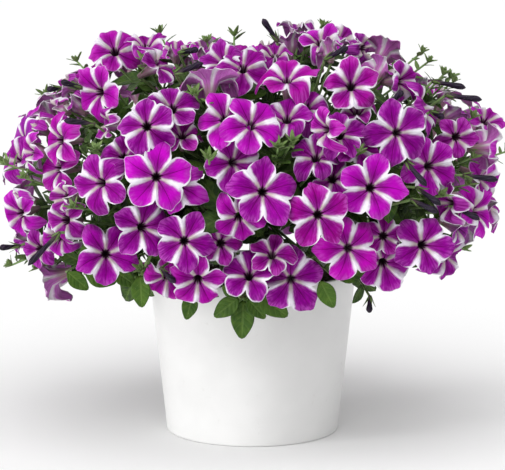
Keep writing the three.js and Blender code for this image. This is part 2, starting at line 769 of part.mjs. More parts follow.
// A bowed route from a hub to an end, bent the way that leaves most room to the other routes
// and goes through the fewest of the given blooms
function openRoute(start, end, node, radius, routes, faces) {
  const along = end.clone().sub(start);
  const side = new THREE.Vector3(-along.y, along.x, 0.001).normalize();
  const over = new THREE.Vector3().crossVectors(side, along).normalize();
  const bends = [
    [0, 0], [0, 7], [7, 0], [-7, 0], [0, -7], [7, 7], [-7, 7], [0, 14], [14, 0], [-14, 0], [0, 22],
    [22, 0], [-22, 0], [16, 16], [-16, 16],
  ];
  let best = null;
  bends.forEach(([sideways, upwards], i) => {
    const middle = start.clone().lerp(end, 0.5)
      .addScaledVector(side, sideways)
      .addScaledVector(over, upwards);
    let room = 3;
    routes.forEach((other) => {
      if (other.node === node) return;
      for (let k = 0; k + 1 < other.points.length; k += 1) {
        [[start, middle], [middle, end]].forEach(([p, q]) => {
          const apart = pieceDistance(p, q, other.points[k], other.points[k + 1]);
          room = Math.min(room, apart - other.radius - radius);
        });
      }
    });
    const through = faces.filter((bloom) => pierces(start, middle, bloom) || pierces(middle, end, bloom));
    const score = room - 0.02 * i - 4 * through.length;
    if (!best || score > best.score) best = { score, points: [start, middle, end] };
  });
  routes.push({ node, radius, points: best.points });
  return best.points;
}

// Dark furled buds stand on the mound as slim blooms that haven't opened. Each lies almost in the
// picture plane.
function furledBuds() {
  return FURLED_BUDS.map(([calyx, tip], i) => {
    const axis = RIGHTWARDS.clone().multiplyScalar((tip[0] - calyx[0]) * MM_PER_PIXEL)
      .addScaledVector(UPWARDS, (calyx[1] - tip[1]) * MM_PER_PIXEL)
      .addScaledVector(TOWARDS, BUD_LEAN);
    const at = seenAt(calyx[0], calyx[1], BUD_FORWARD).add(axis);
    const tall = axis.length();
    return {
      at, axis: axis.normalize(), hint: UPWARDS, tall, seed: 3000 + i, bud: true,
    };
  });
}

// Layout of the shoots: their ends, the way they point, and what leaves they carry
function shootPlans(stems) {
  const plans = [];
  const add = (end, pointing, kind, seed, sideLeaves) => {
    const stem = nearestTo(end.clone().sub(HEART).normalize(), stems);
    plans.push({ end, pointing, kind, seed, sideLeaves, stem });
  };
  SHOOT_TIPS.forEach(([px, py], i) => {
    const end = seenAt(px, py, SHOOT_TIP_FORWARD);
    add(end, moundNormal(end).add(UPWARDS).normalize(), 'tip', 100 + i, i % 2);
  });
  const taken = plans.map((plan) => plan.end);
  spreadDirections(BACK_SHOOT_TRIES, -0.7).forEach((direction, i) => {
    const end = moundPoint(direction, 1.0);
    if (end.y < BACK_SHOOT_REACH || end.z < LOWEST_SHOOT) return;
    if (taken.some((p) => p.distanceTo(end) < BACK_SHOOT_SPACING)) return;
    taken.push(end);
    add(end, moundNormal(end).add(new THREE.Vector3(0, 0, 0.5)).normalize(), 'tip', 300 + i, i % 2);
  });
  spreadDirections(INNER_SHOOTS, -0.5).forEach((direction, i) => {
    const end = moundPoint(direction, INNER_SHOOT_SHARE);
    if (end.z < LOWEST_HUB) return;
    add(end, direction.clone(), 'inner', 700 + i, 0);
  });
  EDGE_LEAVES.forEach(([px, py, length, way], i) => {
    const end = seenAt(px, py, EDGE_LEAF_FORWARD);
    plans.push({
      end, pointing: pictureDirection(way), kind: 'edge', seed: 900 + i, length,
      stem: nearestTo(end.clone().sub(HEART).normalize(), stems),
    });
  });
  return plans;
}

// The leaves of a shoot, each as its size and the frame of its blade
function shootLeaves(plan, points) {
  const draw = drawsFrom(plan.seed);
  const leaves = [];
  const direction = points[2].clone().sub(points[1]).normalize();
  const add = (at, way, length, halfWidth, droop) => {
    const face = plan.pointing.clone().addScaledVector(way, -plan.pointing.dot(way));
    if (face.length() < 0.1) face.copy(TOWARDS);
    const side = new THREE.Vector3().crossVectors(face, way).normalize();
    const upper = new THREE.Vector3().crossVectors(way, side);
    const frame = new THREE.Matrix4().makeBasis(way, side, upper).setPosition(at);
    leaves.push({ length, halfWidth, droop, frame });
  };
  const around = frameAt(points[2], direction, UPWARDS);
  const wayAt = (turn, spread) => new THREE.Vector3(
    Math.sin(spread) * Math.cos(turn),
    Math.sin(spread) * Math.sin(turn),
    Math.cos(spread),
  ).transformDirection(around);
  if (plan.kind === 'edge') {
    const start = points[2].clone().addScaledVector(direction, -0.8);
    add(start, plan.pointing.clone(), plan.length, plan.length * 0.3, 0.12);
    return leaves;
  }
  const start = draw() * 2 * Math.PI;
  const whorlFrame = around.clone().multiply(new THREE.Matrix4().makeRotationZ(start));
  if (plan.kind === 'inner') {
    const length = 34 + 10 * draw();
    const halfWidth = 8 + 3 * draw();
    const rise = 0.35 + 0.3 * draw();
    leaves.push({ whorl: { leaves: 4, length, halfWidth, rise }, frame: whorlFrame });
    return leaves;
  }
  const size = { leaves: 5, length: 11 + 4 * draw(), halfWidth: 0, rise: 0.75 + 0.25 * draw() };
  leaves.push({ whorl: size, frame: whorlFrame });
  for (let i = 0; i < plan.sideLeaves; i += 1) {
    const at = points[1].clone().lerp(points[2], 0.72 + 0.14 * i);
    add(at, wayAt(start + i * GOLDEN_ANGLE, 0.95), 18 + 6 * draw(), 4.6 + 1.5 * draw(), 0.18);
  }
  return leaves;
}

// Fitting: pieces of other nodes are cut clear of a stem, a stalk or a throat, and a later
// face or leaf is cut clear of an earlier one
const nodeParts = new Map();
const keepOuts = [];
const guards = [];
const rooms = [];

function addPart(node, solid) {
  if (!nodeParts.has(node)) nodeParts.set(node, []);
  nodeParts.get(node).push(solid);
}

const listed = (list, node, solid, owner) => list.push({ node, owner, solid, box: solid.boundingBox() });

const boxesMeet = (a, b) => [0, 1, 2].every((k) => a.min[k] <= b.max[k] && b.min[k] <= a.max[k]);

function cutClear(solid, node, lists) {
  let rest = solid;
  const box = solid.boundingBox();
  lists.flat().forEach((other) => {
    if (other.node !== node && boxesMeet(box, other.box)) rest = rest.subtract(other.solid);
  });
  return rest;
}

// Whether a piece meets anything listed, apart from what has the same owner
function meetsOthers(solid, owner, lists) {
  const box = solid.boundingBox();
  return lists.flat().some((other) => other.owner !== owner
    && boxesMeet(box, other.box) && solid.intersect(other.solid).volume() > 1e-3);
}

const largestBody = (solid) => solid.decompose().reduce(
  (best, body) => (!best || body.volume() > best.volume() ? body : best),
  null,
);

// Whether each edge of a solid keeps its two faces once corners nearer than the gap are one
function staysClosed(solid) {
  const mesh = solid.getMesh();
  const spots = new Map();
  const spotOf = [];
  for (let i = 0; i < mesh.numVert; i += 1) {
    const point = Array.from(mesh.vertProperties.subarray(i * mesh.numProp, i * mesh.numProp + 3));
    const spot = point.map((value) => Math.round(value / LEAST_CORNER_GAP)).join();
    if (!spots.has(spot)) spots.set(spot, spots.size);
    spotOf.push(spots.get(spot));
  }
  const edges = new Map();
  for (let i = 0; i < mesh.triVerts.length; i += 3) {
    const face = [0, 1, 2].map((k) => spotOf[mesh.triVerts[i + k]]);
    const whole = new Set(face).size === 3;
    [0, 1, 2].filter(() => whole).forEach((k) => {
      const edge = [face[k], face[(k + 1) % 3]];
      edges.set(edge.join(), (edges.get(edge.join()) ?? 0) + 1);
    });
  }
  const paired = (edge) => edges.get(edge.split(',').reverse().join()) === 1;
  return [...edges].every(([edge, count]) => count === 1 && paired(edge));
}

// A node's pieces as one body, simplified by the most that keeps it closed
function joinedNode(solids) {
  const whole = wasm.Manifold.union(solids).asOriginal();
  return JOIN_TOLERANCES.map((tolerance) => largestBody(whole.simplify(tolerance))).find(staysClosed);
}

const isStraight = ([a, b, c]) => a.distanceTo(c) > 0.999 * (a.distanceTo(b) + b.distanceTo(c));

// The room that others keep from a stem, branch or stalk
function keepOffRod(node, points, radius, sides, steps, owner) {
  listed(guards, node, rod(points, radius + ROD_GUARD, sides, steps), owner);
  listed(keepOuts, node, rod(points, radius + ROD_KEEP_OUT, sides, steps), owner);
}

// A stem, branch or stalk joins its node, with the room that others keep from it
function addRod(node, points, radius, sides, mostSteps, owner) {
  const steps = points.length === 3 && isStraight(points) ? 1 : mostSteps;
  addPart(node, rod(points, radius, sides, steps));
  keepOffRod(node, points, radius, sides, steps, owner);
}

function knuckle(at, towards, radius) {
  const geometry = new THREE.OctahedronGeometry(radius);
  return placed(geometry, frameAt(at, towards.clone().sub(at), new THREE.Vector3(0.3, 0.5, 0.8)));
}

// The plant
const stems = stemPlans();
const front = frontBlooms();
const blooms = front.concat(backBlooms(front));
blooms.forEach((bloom) => { bloom.tall = Math.min(BLOOM_TUBE, bloom.radius * TUBE_PER_RADIUS); });
settleBlooms(blooms);
const bunches = bunchPlans(blooms.concat(furledBuds()), stems);
const routes = [];

stems.forEach((stem) => {
  const outwards = new THREE.Vector3(Math.cos(stem.azimuth), Math.sin(stem.azimuth), 0);
  const points = [
    stem.foot.clone().setZ(SOIL_TOP - STEM_DEPTH),
    stem.foot.clone().setZ(SOIL_TOP + 8),
    stem.foot.clone().addScaledVector(outwards, 3).setZ(SOIL_TOP + 32),
    stem.hub,
  ];
  addRod(stem.name, points, STEM_RADIUS, 4, 4);
  const crown = new THREE.OctahedronGeometry(CROWN_RADIUS);
  addPart(stem.name, placed(crown, new THREE.Matrix4().setPosition(stem.hub)));
  routes.push({ node: stem.name, radius: STEM_RADIUS, points });
});

bunches.forEach((bunch) => {
  const gap = bunch.knuckle + CLEARANCE;
  const inwards = bunch.stem.hub.clone().sub(bunch.hub).normalize();
  const end = bunch.hub.clone().addScaledVector(inwards, gap);
  const middle = bunch.stem.hub.clone().lerp(end, 0.5);
  addRod(bunch.stem.name, [bunch.stem.hub, middle, end], BRANCH_RADIUS, 3, 2);
  routes.push({ node: bunch.stem.name, radius: BRANCH_RADIUS, points: [bunch.stem.hub, end] });
  addPart(bunch.name, knuckle(bunch.hub, bunch.stem.hub, bunch.knuckle));
  bunch.blooms.forEach((bloom) => {
    const throat = bloom.at.clone().addScaledVector(bloom.axis, -8);
    routes.push({ node: bunch.name, radius: 4, points: [bloom.root, throat] });
  });
});

bunches.forEach((bunch) => bunch.blooms.forEach((bloom) => {
  const faces = blooms.filter((other) => other !== bloom);
  const route = openRoute(bunch.hub, bloom.root, bunch.name, STALK_RADIUS, routes, faces);
  const frame = frameAt(bloom.at, bloom.axis, bloom.hint);
  const onwards = bunch.hub.clone().sub(bloom.root).normalize();
  if (!bloom.bud && isStraight(route) && onwards.dot(bloom.axis) < LEAST_STRAIGHT_TURN) {
    bloom.stalkEnd = bunch.hub.clone().applyMatrix4(frame.clone().invert());
    keepOffRod(bunch.name, route, TUBE_FOOT_RADIUS, 3, 1);
  } else {
    const sunk = bloom.root.clone().addScaledVector(bloom.axis, 3);
    addRod(bunch.name, [...route.slice(0, 2), sunk], STALK_RADIUS, 3, 2);
  }
  if (bloom.bud) {
    const low = frameAt(bloom.root, bloom.axis, bloom.hint);
    addPart(bunch.name, placed(spindle(bloom.tall, BUD_RADIUS), low));
    listed(guards, bunch.name, placed(spindle(bloom.tall + 1, BUD_RADIUS + 0.5), low));
    listed(keepOuts, bunch.name, placed(spindle(bloom.tall + 2, BUD_RADIUS + 1), low));
    return;
  }
  listed(guards, bunch.name, placed(frustum(3.4, -bloom.tall - 0.5, 11.8, 1.2, 5), frame));
  listed(keepOuts, bunch.name, placed(frustum(4.4, -bloom.tall - 1, 12.8, 1.8, 5), frame));
}));

const shoots = shootPlans(stems);
shoots.forEach((plan) => {
  plan.points = openRoute(plan.stem.hub, plan.end, plan.stem.name, STALK_RADIUS, routes, blooms);
  const whole = rod(plan.points, STALK_RADIUS, 3, 2);
  const clear = largestBody(cutClear(whole, plan.stem.name, [keepOuts]));
  plan.kept = clear.volume() > LEAST_SHOOT_SHARE * whole.volume();
  if (!plan.kept) return;
  addRod(plan.stem.name, plan.points, STALK_RADIUS, 3, 2, plan);
});

bunches.forEach((bunch) => bunch.blooms.filter((bloom) => !bloom.bud).forEach((bloom) => {
  const frame = frameAt(bloom.at, bloom.axis, bloom.hint);
  const whole = placed(bloomGeometry(bloom, bloom.stalkEnd), frame);
  addPart(bunch.name, largestBody(cutClear(whole, bunch.name, [keepOuts, rooms])));
  const room = placed(faceRoom(bloom), frame);
  listed(rooms, bunch.name, cutClear(room, bunch.name, [guards]));
}));

// A leaf or whorl takes the first size and turn that is free of everything round it. Where none
// is, the first of them is cut clear, or left out if little of it would stay.
function addLeaf(plan, leaf) {
  const shape = leaf.whorl ? whorlGeometry : leafGeometry;
  const node = plan.stem.name;
  let best = null;
  LEAF_SIZES.forEach((size) => LEAF_TURNS.forEach((turn) => {
    if (best) return;
    const smaller = { ...(leaf.whorl ?? leaf) };
    smaller.length *= size;
    smaller.halfWidth *= size;
    const frame = leaf.whorl
      ? leaf.frame.clone().multiply(new THREE.Matrix4().makeRotationZ(turn))
      : leaf.frame.clone().multiply(new THREE.Matrix4().makeRotationX(turn));
    const whole = placed(shape(smaller, 0), frame);
    if (!meetsOthers(whole, plan, [keepOuts, rooms])) best = { whole, smaller, frame };
  }));
  if (!best) {
    const source = leaf.whorl ?? leaf;
    const whole = placed(shape(source, 0), leaf.frame);
    const clear = largestBody(cutClear(whole, node, [keepOuts, rooms]));
    if (!clear || clear.volume() < LEAST_LEAF_SHARE * whole.volume()) return;
    if (clear.numTri() > MOST_CUT_FACES) return;
    best = { whole: clear, smaller: source, frame: leaf.frame };
  }
  addPart(node, best.whole);
  const room = placed(shape(best.smaller, LEAF_ROOM), best.frame);
  listed(rooms, node, cutClear(room, node, [guards]), plan);
}

shoots.filter((plan) => plan.kept).forEach((plan) => {
  shootLeaves(plan, plan.points).forEach((leaf) => addLeaf(plan, leaf));
});

// The pot: a round tapered shell whose floor has drainage holes
function potSolid() {
  const inner = POT_FOOT_RADIUS + (POT_RIM_RADIUS - POT_FOOT_RADIUS) * (POT_FLOOR / POT_HEIGHT) - POT_WALL;
  const outline = [
    [0, 0], [POT_FOOT_RADIUS - 2, 0], [POT_FOOT_RADIUS, 2], [POT_RIM_RADIUS, POT_HEIGHT - 1],
    [POT_RIM_RADIUS - 0.8, POT_HEIGHT], [POT_RIM_RADIUS - POT_WALL, POT_HEIGHT], [inner, POT_FLOOR],
    [0, POT_FLOOR],
  ].map(([x, y]) => new THREE.Vector2(x, y));
  let pot = solidOf(new THREE.LatheGeometry(outline, POT_SIDES).rotateX(Math.PI / 2));
  for (let i = 0; i < 6; i += 1) {
    const angle = (i * Math.PI) / 3;
    const hole = new THREE.CylinderGeometry(DRAIN_RADIUS, DRAIN_RADIUS, 4 * POT_FLOOR, 8)
      .rotateX(Math.PI / 2)
      .translate(DRAIN_RING * Math.cos(angle), DRAIN_RING * Math.sin(angle), 0);
    pot = pot.subtract(solidOf(hole));
  }
  return pot;
}

// The soil: a crowned plug, a clearance off the pot's wall and floor, with a hole for each stem
function soilSolid() {
  const taper = (POT_RIM_RADIUS - POT_FOOT_RADIUS) / POT_HEIGHT;
  const wallAt = (z) => POT_FOOT_RADIUS + taper * z - POT_WALL - CLEARANCE - 0.4;
  const low = POT_FLOOR + CLEARANCE;
  const outline = [
    [0, low], [wallAt(low) - 0.3, low], [wallAt(SOIL_TOP), SOIL_TOP], [62, SOIL_TOP + 0.6 * SOIL_CROWN],
    [0, SOIL_TOP + SOIL_CROWN],
  ].map(([x, y]) => new THREE.Vector2(x, y));
  let soil = solidOf(new THREE.LatheGeometry(outline, SOIL_SIDES).rotateX(Math.PI / 2));
  stems.forEach((stem) => {
    const wide = STEM_RADIUS + 1;
    const hole = frustum(wide, SOIL_TOP - STEM_DEPTH - CLEARANCE, wide, SOIL_TOP + 20, 6);
    soil = soil.subtract(solidOf(hole.translate(stem.foot.x, stem.foot.y, 0)));
  });
  return soil;
}

function finish(colour, roughness) {
  return new THREE.MeshStandardMaterial({ color: colour, roughness, metalness: 0 });
}

const part = new THREE.Group();
function addMesh(name, solid, material) {
  const mesh = new THREE.Mesh(geometryOf(solid), material);
  mesh.name = name;
  part.add(mesh);
}

addMesh('pot', potSolid(), finish(COLOURS.pot, 0.4));
addMesh('soil', soilSolid(), finish(COLOURS.soil, 0.95));
const leafFinish = finish(COLOURS.leaf, 0.6);
const petalFinish = finish(COLOURS.petal, 0.55);
nodeParts.forEach((solids, name) => {
  const joined = joinedNode(solids);
  addMesh(name, joined, name.startsWith('leafy') ? leafFinish : petalFinish);
});

export default part;
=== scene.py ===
# %% [markdown]
# # A petunia in full bloom
# This lesson dresses a potted petunia: a wide mound of purple funnel flowers with white stars, on
# a plain white pot. The solid model of the plant comes first, as a fixed frame. Everything here
# is then made in the same place, in millimetres, and turned to metres as each mesh is written.

# %% Load the solid model
import math

import bpy
import numpy as np
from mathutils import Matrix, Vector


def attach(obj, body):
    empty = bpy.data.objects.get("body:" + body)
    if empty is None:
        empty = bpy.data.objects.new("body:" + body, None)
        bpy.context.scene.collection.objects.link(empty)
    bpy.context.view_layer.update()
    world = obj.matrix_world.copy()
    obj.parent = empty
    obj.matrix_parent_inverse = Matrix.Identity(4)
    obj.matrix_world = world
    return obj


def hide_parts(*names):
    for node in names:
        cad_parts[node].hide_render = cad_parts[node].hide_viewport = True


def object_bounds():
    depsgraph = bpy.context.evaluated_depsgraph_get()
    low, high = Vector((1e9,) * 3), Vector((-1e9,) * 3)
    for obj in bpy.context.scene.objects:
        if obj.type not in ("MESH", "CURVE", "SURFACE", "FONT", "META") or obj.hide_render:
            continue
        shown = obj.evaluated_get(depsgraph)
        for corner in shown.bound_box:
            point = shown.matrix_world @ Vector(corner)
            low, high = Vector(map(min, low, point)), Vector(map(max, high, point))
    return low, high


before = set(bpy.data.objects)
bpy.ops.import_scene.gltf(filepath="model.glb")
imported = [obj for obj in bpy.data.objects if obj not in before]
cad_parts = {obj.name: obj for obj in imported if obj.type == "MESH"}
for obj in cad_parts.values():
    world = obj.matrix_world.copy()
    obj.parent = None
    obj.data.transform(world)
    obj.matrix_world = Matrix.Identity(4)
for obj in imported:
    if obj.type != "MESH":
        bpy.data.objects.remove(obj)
bpy.context.view_layer.update()
solid_box = [list(corner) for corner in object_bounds()]
MM = 0.001
print("solids", len(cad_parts), "box", np.round(solid_box, 3).tolist())

# %% [markdown]
# ## The camera
# The camera stands 3 metres away and 10 degrees above the pot's middle. The distance is a guess,
# and the angle is the one that gives the pot's foot its curve. A long lens from so far away gives
# the flat look of a product picture. It is worked out from the width of the picture.

# %% Camera at the photograph's angle
PICTURE_WIDTH, PICTURE_HEIGHT = 505, 470
PICTURE_MIDDLE = np.array([PICTURE_WIDTH / 2, PICTURE_HEIGHT / 2])
MM_PER_PIXEL = 0.918
VIEW_DISTANCE = 3000.0
VIEW_PITCH = math.radians(10)
VIEW_TARGET = np.array([0.0, 0.0, 181.0])
RIGHTWARDS = np.array([1.0, 0.0, 0.0])
UPWARDS = np.array([0.0, math.sin(VIEW_PITCH), math.cos(VIEW_PITCH)])
TOWARDS = np.array([0.0, -math.cos(VIEW_PITCH), math.sin(VIEW_PITCH)])

camera_data = bpy.data.cameras.new("photo_camera")
camera_data.sensor_width = 36
camera_data.lens = camera_data.sensor_width * VIEW_DISTANCE / (PICTURE_WIDTH * MM_PER_PIXEL)
camera_data.clip_end = 60
camera = bpy.data.objects.new("photo_camera", camera_data)
camera.location = MM * (VIEW_TARGET + VIEW_DISTANCE * TOWARDS)
camera.rotation_euler = (math.pi / 2 - VIEW_PITCH, 0, 0)
bpy.context.scene.collection.objects.link(camera)
bpy.context.scene.camera = camera
print("lens", round(camera_data.lens, 1), "mm")

# %% [markdown]
# ## Where every flower is
# The front flowers were read from the photograph one by one: where each one's throat is, how wide
# it opens, the way it leans and the way one of its white stripes runs. The back isn't in the
# picture, so a spiral of evenly spread places fills it. The front and the back are two rounded
# mounds of nearly one size, because such a plant grows evenly to all sides.

# %% Seeded numbers and directions
GOLDEN_ANGLE = math.pi * (3 - math.sqrt(5))


def draws_from(seed):
    """A stream of numbers from 0 to 1 that is the same on every run."""
    state = (seed * 7919 + 12345) % 2**32

    def draw():
        nonlocal state
        state = (state * 1664525 + 1013904223) % 2**32
        return state / 2**32

    draw()
    draw()
    return draw


def unit(vector):
    return vector / np.linalg.norm(vector)


def circle(count):
    """Evenly spaced angles, once round."""
    return 2 * math.pi * np.arange(count) / count


def ring_points(turns, radius, height):
    """A point at each angle, at a distance from the z axis and at a height."""
    heights = np.broadcast_to(height, turns.shape)
    return np.stack([radius * np.cos(turns), radius * np.sin(turns), heights], 1)


def basis(axis, hint):
    """Columns x, y and z of a right-handed frame: z along the axis, x near the hint."""
    z = unit(axis)
    x = hint - z * hint.dot(z)
    if np.linalg.norm(x) < 1e-3:
        x = np.array([z[1], z[2], z[0]])
        x = x - z * x.dot(z)
    x = unit(x)
    return np.stack([x, np.cross(z, x), z], 1)


def spread_directions(count, lowest):
    """Evenly spread directions, from straight up down to the lowest height on a unit ball."""
    i = np.arange(count)
    z = 1 - (1 - lowest) * (i + 0.5) / count
    flat = np.sqrt(1 - z * z)
    return np.stack([flat * np.cos(i * GOLDEN_ANGLE), flat * np.sin(i * GOLDEN_ANGLE), z], 1)


print("first draws", [round(draws_from(seed)(), 3) for seed in (1, 2, 3)])

# %% The mound
MOUND_CENTRE = np.array([0.0, 0.0, 238.0])
MOUND_SIZE = np.array([236.0, 206.0, 124.0])
MOUND_DROP = 142.0
MOUND_POWER = 2.4
FRONT_WIDTH, FRONT_RISE, FRONT_DROP, FRONT_MIDDLE, FRONT_DEPTH = 240, 124, 150, 64, 207
HEART = np.array([0.0, 0.0, 196.0])


def mound_depth(across, rise):
    """How far the mound comes towards the viewer over a point of the picture."""
    sideways = abs(across / FRONT_WIDTH) ** MOUND_POWER
    height = rise - FRONT_MIDDLE
    upright = abs(height / (FRONT_RISE if height > 0 else FRONT_DROP)) ** MOUND_POWER
    rest = 1 - sideways - upright
    return FRONT_DEPTH * rest ** (1 / MOUND_POWER) if rest > 0 else 0.0


def seen_at(px, py, forward):
    """The point of the plant's front that shows at a pixel, moved towards the viewer."""
    across = (px - PICTURE_MIDDLE[0]) * MM_PER_PIXEL
    rise = (PICTURE_MIDDLE[1] - py) * MM_PER_PIXEL
    depth = mound_depth(across, rise) + forward
    nearer = 1 - depth / VIEW_DISTANCE
    return VIEW_TARGET + RIGHTWARDS * across * nearer + UPWARDS * rise * nearer + TOWARDS * depth


def picture_direction(degrees):
    angle = math.radians(degrees)
    return RIGHTWARDS * math.cos(angle) + UPWARDS * math.sin(angle)


def mound_size(offset):
    return np.array([*MOUND_SIZE[:2], MOUND_DROP if offset[2] < 0 else MOUND_SIZE[2]])


def mound_point(direction, share):
    total = (np.abs(direction / mound_size(direction)) ** MOUND_POWER).sum()
    return MOUND_CENTRE + direction * share / total ** (1 / MOUND_POWER)


def mound_normal(point):
    size = mound_size(point - MOUND_CENTRE)
    offset = (point - MOUND_CENTRE) / size
    return unit(np.sign(offset) * np.abs(offset) ** (MOUND_POWER - 1) / size)


print("mound over the middle", np.round(seen_at(*PICTURE_MIDDLE, 0)).tolist())

# %% The front flowers, read from the photograph
# Each row is across, down and radius in pixels, the way that the face leans in the picture
# (0 right, 90 up), how far it leans (0 faces the viewer), the angle of a white stripe or None,
# and millimetres towards the viewer.
FRONT_BLOOMS = [
    [115, 49, 27, 90, 28, 79, 0], [146, 42, 22, 90, 60, None, 0], [163, 62, 24, 30, 65, None, 0],
    [176, 46, 14, 90, 78, None, -10], [204, 45, 17, 90, 75, None, -6],
    [210, 78, 30, 90, 110, None, 0], [222, 60, 22, 120, 35, None, -14],
    [243, 66, 27, 90, 25, 85, 2], [270, 43, 14, 90, 75, None, -12], [275, 51, 18, 90, 60, None, -6],
    [287, 76, 29, 90, 52, 270, 6], [290, 38, 20, 90, 105, None, -8],
    [297, 22, 20, 90, 88, None, -4], [320, 40, 22, 90, 45, None, 0],
    [326, 46, 15, 105, 100, None, 2], [345, 36, 20, 45, 70, None, -6], [351, 85, 27, 90, 12, 60, 8],
    [367, 48, 16, 0, 50, None, 4], [386, 48, 24, 60, 110, None, -6],
    [384, 66, 20, 60, 110, None, 6], [404, 82, 22, 0, 50, None, 4], [425, 107, 28, 20, 68, None, 2],
    [457, 111, 18, 30, 95, None, -16], [487, 118, 20, 60, 45, None, 0],
    [490, 150, 26, 0, 120, None, 0], [457, 137, 20, 0, 10, 95, 2], [172, 107, 26, 90, 20, 64, 2],
    [147, 126, 28, 90, 5, 64, 4], [225, 118, 28, 90, 20, 75, 0], [252, 124, 30, 60, 18, 81, 8],
    [287, 116, 24, 90, 35, 55, 2], [306, 104, 24, 90, 40, None, -14], [340, 133, 25, 90, 20, 60, 0],
    [321, 130, 22, 180, 55, None, 6], [358, 146, 24, 90, 30, None, -12],
    [357, 108, 20, 90, 50, None, -16], [316, 156, 24, 90, 25, None, -14],
    [397, 133, 31, 0, 5, 75, 8], [182, 132, 20, 90, 40, None, -16], [96, 92, 28, 180, 40, 100, 2],
    [66, 85, 15, 180, 85, None, 0], [72, 100, 16, 135, 100, None, -8],
    [53, 112, 14, 180, 90, None, -10], [56, 140, 26, 180, 50, None, 2],
    [105, 124, 16, 180, 70, None, -8], [124, 157, 23, 90, 10, 55, -2],
    [99, 183, 29, 180, 25, 81, 4], [27, 152, 22, 175, 75, None, -4],
    [34, 124, 17, 150, 75, None, -8], [53, 168, 26, 180, 55, None, -4],
    [62, 197, 16, 180, 60, None, -10], [62, 220, 24, 180, 35, None, 4],
    [57, 240, 20, 225, 40, None, -6], [17, 215, 24, 200, 45, None, 2],
    [38, 249, 19, 180, 20, None, -4], [49, 278, 28, 197, 108, None, 0],
    [16, 240, 13, 180, 80, None, -10], [157, 177, 33, 0, 5, 50, 10],
    [177, 186, 25, 180, 20, 82, -8], [234, 162, 30, 0, 10, 80, 2], [263, 192, 33, 0, 5, 54, 6],
    [318.6, 214.7, 31, 0, 5, 60, 8], [333, 177, 23, 90, 15, 40, -2], [371, 188, 32, 0, 5, 40, 4],
    [430, 166, 28, 0, 10, 83, 2], [446, 203, 22, 180, 55, None, 6],
    [463, 229, 22, 340, 70, None, -8], [480, 211, 26, 0, 62, None, 0],
    [486, 181, 24, 330, 60, None, 0], [106, 254, 30, 0, 5, 20, 4], [144, 227, 29, 0, 20, 45, 2],
    [185, 241, 29, 0, 5, 98, 6], [239, 219, 26, 270, 20, None, -10],
    [221, 243, 22, 0, 5, None, -16], [272, 253, 22, 90, 20, None, -12],
    [249, 274, 27, 90, 20, 45, 0], [291, 280, 33, 270, 5, 55, 8], [349, 248, 31, 0, 5, 75, 0],
    [384, 236, 20, 0, 5, None, -12], [384, 265, 28, 280, 20, 40, 6], [423, 245, 28, 0, 10, 30, 2],
    [452, 259, 27, 330, 58, None, 0], [167, 281, 26, 270, 40, None, 0],
    [198, 282, 27, 270, 25, 266, 4],
]
print("front flowers", len(FRONT_BLOOMS))

# %% Furled buds, shoot tips and large leaves, read from the photograph
# A furled bud is its calyx and its tip. A large leaf is across, down, length in millimetres, and
# the way of its tip.
FURLED_BUDS = [
    [[278, 42], [263, 20]], [[432, 81], [464, 88]], [[445, 95], [480, 100]], [[178, 53], [198, 50]],
    [[60, 232], [30, 264]], [[62, 88], [48, 90]], [[95, 124], [66, 121]], [[405, 160], [425, 185]],
    [[20, 246], [0, 248]], [[160, 268], [175, 282]], [[370, 296], [369, 312]],
    [[416, 187], [439, 204]], [[411, 199], [436, 212]], [[453, 206], [478, 219]],
    [[463, 175], [496, 180]], [[430, 111], [443, 118]], [[174, 74], [202, 64]],
    [[324, 60], [347, 48]], [[388, 105], [402, 92]], [[82, 88], [62, 82]],
]
SHOOT_TIPS = [
    [8, 165], [25, 178], [97, 150], [114, 172], [75, 208], [195, 95], [212, 103], [145, 62],
    [160, 34], [207, 42], [307, 40], [323, 27], [292, 142], [278, 148], [209, 160], [388, 157],
    [422, 52], [428, 62], [443, 75], [472, 118], [466, 185], [440, 196], [143, 270], [246, 296],
    [12, 265], [38, 268], [358, 152], [472, 158], [450, 78],
]
EDGE_LEAVES = [
    [66, 272, 25, 320], [84, 274, 29, 345], [112, 270, 25, 325], [139, 275, 29, 274],
    [193, 294, 24, 255], [241, 296, 24, 98], [239, 298, 28, 218], [243, 300, 35, 268],
    [247, 299, 24, 312], [257, 293, 34, 322], [320, 281, 27, 298], [337, 279, 27, 18],
]
print("buds", len(FURLED_BUDS), "shoot tips", len(SHOOT_TIPS), "large leaves", len(EDGE_LEAVES))

# %% [markdown]
# ## Settling the flowers
# Each flower is kept as a small record: its throat, the way it faces, how wide it opens. Two
# flowers can't share one place, so each one moves in or out to where the flat form of its face
# crosses those before it least.

# %% The flowers as records
BLOOM_TUBE = 29.0
TUBE_PER_RADIUS = 1.25
FACE_DISH = 6.0
FACE_GAP = 1.5
SETTLE_STEPS = (0, 4, -4, 8, -8, 12, -12, 16, -16)
SETTLE_STEP_COST = 0.05
BACK_BLOOM_SHARE = 0.94
BACK_BLOOM_SPACING = 52
BACK_BLOOM_TRIES = 420
BACK_BLOOM_SEED = 1000
BACK_BLOOM_LOWEST_WAY = -0.85
FRONT_REACH = -95
LOWEST_BLOOM = 146


def front_blooms():
    rows = []
    for i, (px, py, radius, lean, tilt, stripe, forward) in enumerate(FRONT_BLOOMS):
        draw = draws_from(i + 1)
        turn = math.radians(tilt)
        rows.append({
            "at": seen_at(px, py, forward),
            "axis": TOWARDS * math.cos(turn) + picture_direction(lean) * math.sin(turn),
            "lift": TOWARDS,
            "hint": picture_direction(360 * draw() if stripe is None else stripe),
            "radius": radius * MM_PER_PIXEL,
            "seed": i + 1,
            "front": True,
        })
    return rows


